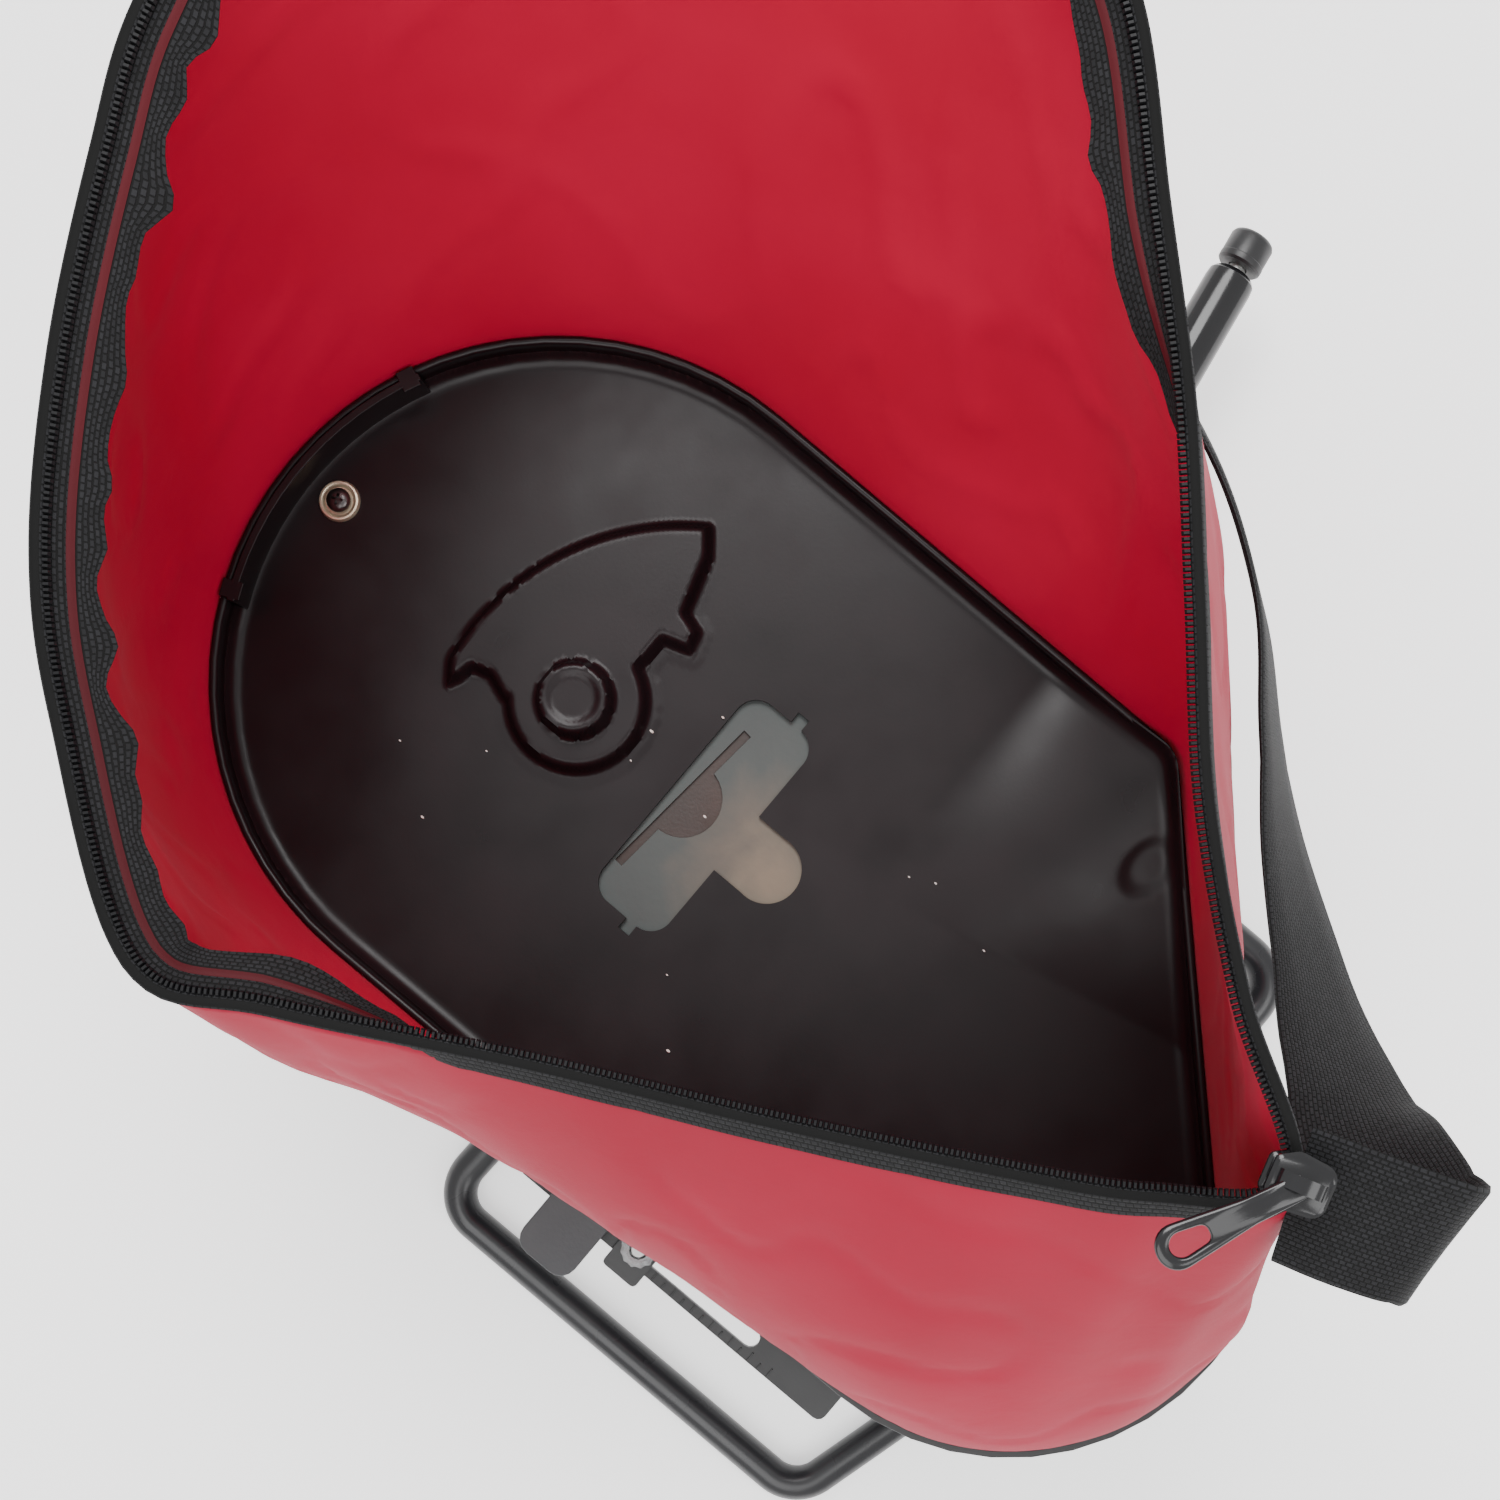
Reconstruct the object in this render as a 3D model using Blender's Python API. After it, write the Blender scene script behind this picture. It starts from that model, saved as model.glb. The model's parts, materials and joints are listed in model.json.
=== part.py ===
"""Hand-cranked broadcast spreader with an open zip-top fabric bag.

+Z is up, +Y is forward and +X is the operator's right. Places are counted from the floor straight
below the impeller shaft; at the end everything moves so that the origin is at the bottom centre of
the whole thing's box. Sizes are in millimetres; add_mesh turns them into metres.
"""
import math

import bmesh
import bpy
from mathutils import Vector

MM = 0.001
GAP = 0.3                  # clearance between pieces that touch
RUNNING = 0.3              # clearance of a turning or sliding piece

# Frame: one closed loop of tube that lies on the floor
TUBE_RADIUS = 6.35
FRAME_HALF_WIDTH = 91.0
FRAME_FRONT_Y = 102.0
FRAME_REAR_Y = -250.0
GRIP_X = -174.0
GRIP_FRONT_Y = -63.0
GRIP_REAR_Y = -235.0
FRAME_BEND = 15.0
POST_RADIUS = 6.0
POST_RIGHT_Y = -151.0
POST_LEFT_Y = -45.0
STAKE_RADIUS = 3.0
STAKE_HEAD = 5.0

# Hopper pan
PAN_HALF_WIDTH = 112.0
PAN_ARC_Y = 6.6
PAN_REAR_Y = -291.0
PAN_CUT_Y = -160.0         # where the slanted rear right side starts
PAN_REAR_LEFT_BEND = 80.0
PAN_REAR_TIP_BEND = 25.0
PAN_CUT_BEND = 14.0
PAN_WALL = 2.5
FLOOR_TOP = 106.0
RIM_HEIGHT = 14.0
PLATEAU_HEIGHT = 6.0
BOSS_RADIUS = 12.0
BOSS_HEIGHT = 13.0

# Drop opening, port plate and shut-off slide
OPENING_HALF = 42.0
OPENING_CENTRE_X = -2.0
OPENING_FRONT_Y = -41.3
OPENING_DEPTH = 28.2
OPENING_BEND = 8.0
KEYHOLE_RADIUS = 11.5
KEYHOLE_Y = -82.5
NOTCH = 4.0
PORT_THICK = 1.0
PORT_MARGIN = 4.5
PORT_SLOT_LENGTH = 60.0
PORT_SLOT_WIDTH = 3.0
PORT_BULGE_RADIUS = 13.0
SLIDE_THICK = 2.2
SLIDE_TRAVEL = 22.5
LEVER_FRONT_Y = -97.0
LEVER_WIDTH = 22.0
LEVER_TIP_X = -150.0
GUIDE_LIP = 4.0
GUIDE_WALL = 3.0

# Impeller and its shaft
IMPELLER_RADIUS = 80.0
IMPELLER_Z = 74.5
IMPELLER_THICK = 2.5
FIN_TOP = 93.0
FIN_COUNT = 4
HUB_RADIUS = 12.0
SHAFT_RADIUS = 4.0
BUSH_WALL = 1.8

# Gearbox, crank and knob
CRANK_SKEW = 10.0          # degrees that the crank shaft leans forward in plan
CRANK_Z = 42.0
CRANK_SHAFT_END = 160.0
CRANK_LENGTH = 115.0
CRANK_ARM_THICK = 8.0
CRANK_GEAR_RADIUS = 21.0
PINION_RADIUS = 7.5
TOOTH_DEPTH = 1.2
GEARBOX_WALL = 2.5
GEARBOX_HALF_WIDTH = 27.0
GEARBOX_INNER_END = -20.0
GEARBOX_OUTER_END = 36.0
GEARBOX_BOTTOM = 16.4
GEARBOX_TOP = 71.0
BRACKET_THICK = 3.0
BRACKET_HALF_WIDTH = 13.0
KNOB_RADIUS = 9.0
KNOB_LENGTH = 92.0
KNOB_CAP_RADIUS = 8.3
KNOB_CAP_LENGTH = 12.0

# Rate gauge and its stop
GAUGE_SLOT_X = -126.0
GAUGE_SLOT_WIDTH = 6.5
GAUGE_OUTER_X = -133.0
GAUGE_INNER_X = -112.0
GAUGE_FRONT_Y = -82.0
GAUGE_REAR_Y = -215.0
GAUGE_Z = 86.0
GAUGE_THICK = 3.0
GAUGE_SLOT_FRONT_Y = -124.0
GAUGE_SLOT_REAR_Y = -182.0
STOP_Y = -131.0
STOP_LENGTH = 14.0
THUMB_RADIUS = 6.6

# Bag, bands, zip and strap
FABRIC = 2.0
HEM_BOTTOM = 105.0
BAND_THICK = 2.5
BAND_BOTTOM = 106.0
BAND_HEIGHT = 11.0
TAPE_HEIGHT = 13.0
TAPE_THICK = 2.4
BAG_SPACING = 16.0         # longest step between points round the bag
BAG_RINGS = 7
STRAP_WIDTH = 38.0
STRAP_THICK = 2.2
PULLER_HEADING = 156.0      # degrees from +X, in plan

# Mouth of the bag: points chosen round the opened zip, from the closed end over the right side
MOUTH = [(22, -240, 285), (48, -202, 285), (79, -164, 287), (114, -131, 290), (148, -98, 296), (177, -64, 305),
         (204, -31, 316), (216, 0, 322), (214, 35, 327), (198, 74, 330), (156, 121, 330), (107, 145, 325),
         (58, 141, 318), (26, 130, 312), (-16, 111, 305), (-56, 88, 295), (-85, 62, 285), (-122, 14, 272),
         (-110, -18, 262), (-79, -77, 255), (-52, -131, 255), (-22, -186, 262), (-2, -218, 272)]

# Strap route: from the closed end of the zip, over a fold, along the right side to the far end
STRAP_ROUTE = [(20, -245, 275), (26, -262, 281), (32, -277, 281), (35, -283, 272), (36, -278, 262),
               (43, -262, 247), (56, -246, 226), (73, -226, 208), (97, -197, 200), (120, -173, 198),
               (145, -148, 198), (168, -112, 200), (182, -66, 204), (187, -15, 212), (185, 42, 222),
               (174, 98, 244), (155, 142, 276), (121, 154, 304)]
# Direction of the strap's width at even steps along the route
STRAP_LEANS = [(-1, -0.13, -0.5), (-1, -0.13, -0.3), (-0.6, 0.3, 0.5), (-0.45, 0.45, 0.77), (-0.25, 0.25, 0.95),
               (-0.2, 0.1, 1), (-0.3, 0, 1), (-0.3, 0, 1), (-0.3, 0, 1), (-0.3, 0, 1), (-0.4, -0.1, 0.9),
               (-0.6, 0.1, 0.7), (-0.9, 0.35, 0.3)]

FLOOR_BOTTOM = FLOOR_TOP - PAN_WALL
RIM_TOP = FLOOR_TOP + RIM_HEIGHT
PORT_TOP = FLOOR_BOTTOM - GAP
SLIDE_TOP = PORT_TOP - PORT_THICK - GAP
SLIDE_BOTTOM = SLIDE_TOP - SLIDE_THICK
GAUGE_TOP = GAUGE_Z + GAUGE_THICK
TUBE_TOP = 2 * TUBE_RADIUS

COLOURS = {
    "black_plastic": ((0.012, 0.011, 0.012), 0.38, 0.0),
    "black_tube": ((0.014, 0.014, 0.016), 0.3, 0.0),
    "grey_plastic": ((0.035, 0.037, 0.04), 0.5, 0.0),
    "zinc_steel": ((0.42, 0.43, 0.42), 0.35, 0.9),
    "clear_plastic": ((0.85, 0.87, 0.88), 0.08, 0.0),
    "red_fabric": ((0.55, 0.012, 0.03), 0.75, 0.0),
    "black_webbing": ((0.015, 0.015, 0.017), 0.8, 0.0),
    "pale_guard": ((0.55, 0.56, 0.57), 0.3, 0.0),
    "brass": ((0.6, 0.42, 0.16), 0.3, 1.0),
    "nylon_gear": ((0.75, 0.74, 0.7), 0.5, 0.0),
}


def clear_scene():
    for obj in list(bpy.data.objects):
        bpy.data.objects.remove(obj, do_unlink=True)


def material(name):
    """Return the named material, made the first time it is asked for."""
    found = bpy.data.materials.get(name)
    if found:
        return found
    colour, roughness, metallic = COLOURS[name]
    made = bpy.data.materials.new(name)
    made.use_nodes = True
    shader = made.node_tree.nodes["Principled BSDF"]
    shader.inputs["Base Color"].default_value = (*colour, 1.0)
    shader.inputs["Roughness"].default_value = roughness
    shader.inputs["Metallic"].default_value = metallic
    return made


def add_mesh(name, bm, slot, parent=None, at=(0, 0, 0), turn=(0, 0, 0)):
    """Turn a millimetre bmesh into a placed object in metres."""
    bmesh.ops.scale(bm, vec=(MM, MM, MM), verts=bm.verts)
    bmesh.ops.recalc_face_normals(bm, faces=bm.faces)
    mesh = bpy.data.meshes.new(name)
    bm.to_mesh(mesh)
    bm.free()
    mesh.materials.append(material(slot))
    mesh.shade_smooth()
    mesh.set_sharp_from_angle(angle=math.radians(35))
    obj = bpy.data.objects.new(name, mesh)
    bpy.context.scene.collection.objects.link(obj)
    obj.parent = parent
    obj.location = [value * MM for value in at]
    obj.rotation_euler = [math.radians(value) for value in turn]
    return obj


def loft(rings, closed=False):
    """Skin a row of equal rings; the ends are capped, or joined to each other when closed."""
    bm = bmesh.new()
    loops = [[bm.verts.new(point) for point in ring] for ring in rings]
    count = len(loops)
    for index in range(count if closed else count - 1):
        lower, upper = loops[index], loops[(index + 1) % count]
        for side in range(len(lower)):
            after = (side + 1) % len(lower)
            bm.faces.new((lower[side], lower[after], upper[after], upper[side]))
    if not closed:
        bm.faces.new(loops[0])
        bm.faces.new(loops[-1])
    return bm


def level(outline, z):
    return [(x, y, z) for x, y in outline]


def prism(name, outline, bottom, top, slot, **place):
    return add_mesh(name, loft([level(outline, bottom), level(outline, top)]), slot, **place)


def circle(radius, steps, centre=(0, 0)):
    angles = [2 * math.pi * step / steps for step in range(steps)]
    return [(centre[0] + radius * math.cos(a), centre[1] + radius * math.sin(a)) for a in angles]


def turned(name, profile, slot, steps=32, bored=False, **place):
    """Turn (radius, z) points about Z; a bored profile is a closed loop off the axis."""
    rings = [level(circle(radius, steps), z) for radius, z in profile]
    return add_mesh(name, loft(rings, closed=bored), slot, **place)


def tube(name, inner, outer, bottom, top, slot, steps=32, **place):
    profile = [(outer, bottom), (outer, top), (inner, top), (inner, bottom)]
    return turned(name, profile, slot, steps, bored=True, **place)


def box_outline(x0, x1, y0, y1):
    return [(x0, y0), (x1, y0), (x1, y1), (x0, y1)]


def rounded(corners, degrees=9.0):
    """Round each (x, y, radius) corner of a polygon with an arc."""
    outline = []
    count = len(corners)
    for index, (x, y, radius) in enumerate(corners):
        here = Vector((x, y))
        back = (Vector(corners[index - 1][:2]) - here).normalized()
        ahead = (Vector(corners[(index + 1) % count][:2]) - here).normalized()
        if radius <= 0:
            outline.append((x, y))
            continue
        half = back.angle(ahead) / 2
        centre = here + (back + ahead).normalized() * (radius / math.sin(half))
        start = here + back * (radius / math.tan(half)) - centre
        turn = math.pi - 2 * half
        if back.x * ahead.y - back.y * ahead.x > 0:
            turn = -turn
        steps = max(2, round(math.degrees(abs(turn)) / degrees))
        for step in range(steps + 1):
            angle = turn * step / steps
            spun = Vector((start.x * math.cos(angle) - start.y * math.sin(angle),
                           start.x * math.sin(angle) + start.y * math.cos(angle)))
            outline.append(tuple(centre + spun))
    return [point for place, point in enumerate(outline) if math.dist(point, outline[place - 1]) > 0.05]


def normals(path, closed=True):
    """Outward normals in plan of a path that runs anticlockwise."""
    result = []
    last = len(path) - 1
    for index in range(len(path)):
        before = path[index - 1] if closed or index > 0 else path[0]
        after = path[(index + 1) % len(path)] if closed or index < last else path[last]
        along = Vector((after[0] - before[0], after[1] - before[1])).normalized()
        result.append(Vector((along.y, -along.x)))
    return result


def offset(outline, distance):
    pairs = zip(outline, normals(outline))
    return [(x + n.x * distance, y + n.y * distance) for (x, y), n in pairs]


def dense(outline, spacing):
    """Add points along a closed outline's long sides, keeping its own points."""
    result = []
    for index, here in enumerate(outline):
        after = outline[(index + 1) % len(outline)]
        steps = max(1, math.ceil(math.dist(here, after) / spacing))
        result += [tuple(Vector(here).lerp(Vector(after), step / steps)) for step in range(steps)]
    return result


def sweep(path, section, closed):
    """Carry a section of (outward, z) points along a plan path."""
    ways = normals(path, closed)
    rings = [[(x + n.x * out, y + n.y * out, z) for out, z in section] for (x, y), n in zip(path, ways)]
    return loft(rings, closed)


def strip(inner, outer, bottom, top):
    return [(inner, bottom), (outer, bottom), (outer, top), (inner, top)]


def guide_only(obj):
    obj.hide_render = True
    obj.display_type = "WIRE"
    return obj


def combine(obj, tools, operation):
    """Add or cut away each tool with a live exact Boolean."""
    for tool in tools:
        modifier = obj.modifiers.new(tool.name, "BOOLEAN")
        modifier.operation = operation
        modifier.solver = "EXACT"
        modifier.object = guide_only(tool)
    return obj


def screw(name, at, length, up=True, radius=2.0, head=4.0, head_height=2.2, **place):
    """A pan-head screw with its head at the end that is away from its hold."""
    profile = [(radius, -length), (radius, 0), (head, 0), (head, head_height * 0.5),
               (head * 0.6, head_height)]
    turn = (0, 0, 0) if up else (180, 0, 0)
    return turned(name, profile, "zinc_steel", 16, at=at, turn=turn, **place)


# ---------------------------------------------------------------- hopper

def pan_outline():
    cut_tip_x = PAN_HALF_WIDTH - (PAN_CUT_Y - PAN_REAR_Y)
    front = PAN_ARC_Y + PAN_HALF_WIDTH
    return rounded([(cut_tip_x, PAN_REAR_Y, PAN_REAR_TIP_BEND),
                    (PAN_HALF_WIDTH, PAN_CUT_Y, PAN_CUT_BEND),
                    (PAN_HALF_WIDTH, front, PAN_HALF_WIDTH),
                    (-PAN_HALF_WIDTH, front, PAN_HALF_WIDTH),
                    (-PAN_HALF_WIDTH, PAN_REAR_Y, PAN_REAR_LEFT_BEND)])


def opening_outline():
    left = OPENING_CENTRE_X - OPENING_HALF
    right = OPENING_CENTRE_X + OPENING_HALF
    rear = OPENING_FRONT_Y - OPENING_DEPTH
    return rounded([(left, rear, OPENING_BEND), (right, rear, OPENING_BEND),
                    (right, OPENING_FRONT_Y, OPENING_BEND), (left, OPENING_FRONT_Y, OPENING_BEND)], 18)


def plateau_outline():
    """Fan-shaped raised patch: an arc in front, two feet and a round end about the shaft."""
    centre = Vector((-1, -45.6))
    radius = 87.9
    first, last = math.radians(34), math.radians(102)
    steps = 12
    arc = [(centre.x + radius * math.cos(first + (last - first) * step / steps),
            centre.y + radius * math.sin(first + (last - first) * step / steps)) for step in range(steps + 1)]
    left = [(-23, 36), (-19, 34), (-14, 33), (-12, 27), (-15, 19)]
    start, end = math.radians(128), math.radians(338)
    round_end = [(23 * math.cos(start + (end - start) * step / 14), 23 * math.sin(start + (end - start) * step / 14))
                 for step in range(15)]
    right = [(26, -9), (33, -9), (36, -18), (43, -16), (45, -9), (64, -3)]
    return arc + left + round_end + right


def stake_places():
    """Places of the two side posts, whose staked tops hold the pan."""
    return [(-FRAME_HALF_WIDTH, POST_LEFT_Y), (FRAME_HALF_WIDTH, POST_RIGHT_Y)]


def build_pan():
    outline = pan_outline()
    inside = offset(outline, -PAN_WALL)
    pan = add_mesh("hopper_pan", loft([level(outline, FLOOR_BOTTOM), level(outline, RIM_TOP),
                                       level(inside, RIM_TOP), level(inside, FLOOR_TOP)]), "black_plastic")
    hidden = FLOOR_TOP - PAN_WALL / 2
    plateau = prism("plateau_form", plateau_outline(), hidden, FLOOR_TOP + PLATEAU_HEIGHT, "black_plastic")
    boss = turned("boss_form", [(BOSS_RADIUS + 0.6, hidden), (BOSS_RADIUS, FLOOR_TOP + BOSS_HEIGHT)],
                  "black_plastic", 32)
    rear = OPENING_FRONT_Y - OPENING_DEPTH
    below, above = FLOOR_BOTTOM - 5, FLOOR_TOP + 5
    opening = prism("opening_cut", opening_outline(), below, above, "black_plastic")
    neck = prism("neck_cut", box_outline(OPENING_CENTRE_X - KEYHOLE_RADIUS, OPENING_CENTRE_X + KEYHOLE_RADIUS,
                                         KEYHOLE_Y, rear + 1), below, above, "black_plastic")
    keyhole = prism("keyhole_cut", circle(KEYHOLE_RADIUS + 0.05, 28, (OPENING_CENTRE_X, KEYHOLE_Y)), below, above,
                    "black_plastic")
    notch_reach = OPENING_HALF + NOTCH
    notch_y = OPENING_FRONT_Y - OPENING_DEPTH * 0.65
    notches = prism("notch_cut", box_outline(OPENING_CENTRE_X - notch_reach, OPENING_CENTRE_X + notch_reach,
                                             notch_y - NOTCH / 2, notch_y + NOTCH / 2), below, above, "black_plastic")
    bore = turned("bore_cut", [(SHAFT_RADIUS + BUSH_WALL + GAP, FLOOR_BOTTOM - 1),
                               (SHAFT_RADIUS + BUSH_WALL + GAP, FLOOR_TOP + BOSS_HEIGHT - PAN_WALL)],
                  "black_plastic", 24)
    holes = [turned("post_screw_cut", [(2.4, below), (2.4, above)], "black_plastic", 16,
                    at=(0, FRAME_FRONT_Y, 0))]
    for x, y in stake_places():
        holes.append(turned("stake_hole", [(STAKE_RADIUS + GAP, below), (STAKE_RADIUS + GAP, above)],
                            "black_plastic", 16, at=(x, y, 0)))
    for x, y in gauge_posts():
        holes.append(turned("gauge_blind_cut", [(1.8, below), (1.8, FLOOR_TOP - 0.8)], "black_plastic", 12,
                            at=(x, y, 0)))
    combine(pan, [plateau, boss], "UNION")
    combine(pan, [opening, neck, keyhole, notches, bore] + holes, "DIFFERENCE")
    tube("pan_bush", SHAFT_RADIUS + RUNNING, SHAFT_RADIUS + BUSH_WALL, FLOOR_BOTTOM, FLOOR_TOP + BOSS_HEIGHT - 4,
         "brass", 24)


def build_front_band():
    """Curved clip over the rim at the front, with a hook at each end."""
    thick = 2.5
    radius = PAN_HALF_WIDTH - PAN_WALL - 0.8 - thick
    hook_reach = PAN_HALF_WIDTH - 0.5 - radius
    reach = 26
    arc = [(radius * math.cos(math.radians(90 + reach - angle)), PAN_ARC_Y + radius * math.sin(
        math.radians(90 + reach - angle))) for angle in range(0, 2 * reach + 1, 4)]
    arc.reverse()
    band = add_mesh("front_clip_band", sweep(arc, strip(0, thick, FLOOR_TOP + GAP, RIM_TOP + thick), False),
                    "black_plastic")
    hooks = []
    for side in (-1, 1):
        angle = math.radians(90 + side * (reach - 2))
        hook = add_mesh(f"hook_form_{side}", loft([level(box_outline(-1.5, hook_reach, -3, 3), RIM_TOP + GAP),
                                                   level(box_outline(-1.5, hook_reach, -3, 3), RIM_TOP + thick)]),
                        "black_plastic", at=(radius * math.cos(angle), PAN_ARC_Y + radius * math.sin(angle), 0),
                        turn=(0, 0, math.degrees(angle)))
        hooks.append(hook)
    combine(band, hooks, "UNION")


def build_port():
    """Zinc port plate under the floor, the slide below it, and the guides that carry both."""
    left = OPENING_CENTRE_X - OPENING_HALF - PORT_MARGIN
    right = OPENING_CENTRE_X + OPENING_HALF + PORT_MARGIN
    front = OPENING_FRONT_Y + PORT_MARGIN
    rear = KEYHOLE_Y - KEYHOLE_RADIUS - PORT_MARGIN
    plate = prism("port_plate", box_outline(left, right, rear, front), PORT_TOP - PORT_THICK, PORT_TOP,
                  "zinc_steel")
    skew = -5.0
    centre_y = OPENING_FRONT_Y - 5.0
    slot = prism("port_slot_cut", box_outline(-PORT_SLOT_LENGTH / 2, PORT_SLOT_LENGTH / 2,
                                              -PORT_SLOT_WIDTH / 2, PORT_SLOT_WIDTH / 2),
                 PORT_TOP - 5, PORT_TOP + 5, "zinc_steel", at=(OPENING_CENTRE_X, centre_y, 0), turn=(0, 0, skew))
    half_round = [point for point in circle(PORT_BULGE_RADIUS, 36) if point[1] <= 0.5]
    bulge = prism("port_bulge_cut", half_round, PORT_TOP - 5, PORT_TOP + 5, "zinc_steel",
                  at=(OPENING_CENTRE_X, centre_y, 0), turn=(0, 0, skew))
    combine(plate, [slot, bulge], "DIFFERENCE")

    lever_rear = LEVER_FRONT_Y - LEVER_WIDTH
    slide = prism("shutoff_slide", rounded([
        (left, lever_rear, 0), (right, lever_rear, 3), (right, front, 3), (left, front, 3),
        (left, LEVER_FRONT_Y, 3), (LEVER_TIP_X, LEVER_FRONT_Y, 6), (LEVER_TIP_X, lever_rear, 6)], 22),
        SLIDE_BOTTOM, SLIDE_TOP, "grey_plastic")
    lug = prism("lug_form", box_outline(GAUGE_SLOT_X - 5, GAUGE_SLOT_X + 5, LEVER_FRONT_Y - 4, LEVER_FRONT_Y - 0.5),
                GAUGE_TOP + 0.6, SLIDE_BOTTOM + 1, "grey_plastic")
    combine(slide, [lug], "UNION")

    lip_top = SLIDE_BOTTOM - RUNNING
    lip_bottom = lip_top - 2.2
    top = FLOOR_BOTTOM - GAP
    for name, side, rear_end in (("slide_guide_left", -1, LEVER_FRONT_Y + 3),
                                 ("slide_guide_right", 1, lever_rear - SLIDE_TRAVEL)):
        edge = left if side < 0 else right
        section = [(edge + side * RUNNING, top), (edge + side * (RUNNING + GUIDE_WALL), top),
                   (edge + side * (RUNNING + GUIDE_WALL), lip_bottom), (edge - side * GUIDE_LIP, lip_bottom),
                   (edge - side * GUIDE_LIP, lip_top), (edge + side * RUNNING, lip_top)]
        add_mesh(name, loft([[(x, y, z) for x, z in section] for y in (front, rear_end)]), "black_plastic")


# ---------------------------------------------------------------- frame

def build_frame():
    path = rounded([(FRAME_HALF_WIDTH, FRAME_REAR_Y, FRAME_BEND),
                    (FRAME_HALF_WIDTH, FRAME_FRONT_Y, FRAME_HALF_WIDTH),
                    (-FRAME_HALF_WIDTH, FRAME_FRONT_Y, FRAME_HALF_WIDTH),
                    (-FRAME_HALF_WIDTH, GRIP_FRONT_Y - 3, FRAME_BEND),
                    (GRIP_X, GRIP_FRONT_Y, FRAME_BEND), (GRIP_X, GRIP_REAR_Y, FRAME_BEND),
                    (GRIP_X + 56, FRAME_REAR_Y, 2 * FRAME_BEND)], 10)
    facet = TUBE_RADIUS / math.cos(math.pi / 12)
    angles = [math.pi * (2 * step + 1) / 12 for step in range(12)]
    section = [(facet * math.cos(angle), facet * math.sin(angle) + TUBE_RADIUS) for angle in angles]
    frame = add_mesh("base_frame", sweep(path, section, True), "black_tube")
    holes = []
    for side in (-1, 1):
        holes.append(turned(f"tube_hole_{side}", [(2.3, TUBE_TOP - 8), (2.3, TUBE_TOP + 3)], "black_tube", 12,
                            at=(side * FRAME_HALF_WIDTH, 0, 0)))
        screw(f"bracket_screw_{'left' if side < 0 else 'right'}",
              (side * FRAME_HALF_WIDTH, 0, TUBE_TOP + GAP + BRACKET_THICK + GAP), 9)
    combine(frame, holes, "DIFFERENCE")
    bottom, top = TUBE_TOP + GAP, FLOOR_BOTTOM - GAP
    places = [(0, FRAME_FRONT_Y)] + stake_places()
    for name, (x, y) in zip(("front_post", "left_post", "right_post"), places):
        profile = [(POST_RADIUS, bottom), (POST_RADIUS, top)]
        if name != "front_post":
            head = FLOOR_TOP + GAP
            profile += [(STAKE_RADIUS, top), (STAKE_RADIUS, head), (STAKE_HEAD, head), (STAKE_HEAD * 0.8, head + 1.6),
                        (STAKE_HEAD * 0.4, head + 2.4)]
        post = turned(name, profile, "black_plastic", 20, at=(x, y, 0))
        if name == "front_post":
            hole = turned("front_post_cut", [(2.4, top - 16), (2.4, top + 1)], "black_plastic", 16, at=(x, y, 0))
            combine(post, [hole], "DIFFERENCE")
    washer_top = FLOOR_TOP + GAP + 1.6
    turned("cup_washer", [(2.6, FLOOR_TOP + GAP), (6.8, FLOOR_TOP + GAP), (5.2, washer_top), (2.6, washer_top)],
           "brass", 24, bored=True, at=(0, FRAME_FRONT_Y, 0))
    screw("front_screw", (0, FRAME_FRONT_Y, washer_top + GAP), 14)


def gauge_posts():
    """Places of the two posts that carry the gauge under the pan."""
    return [(GAUGE_INNER_X + 8, GAUGE_FRONT_Y - 6), (GAUGE_INNER_X + 8, GAUGE_REAR_Y + 9)]


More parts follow.
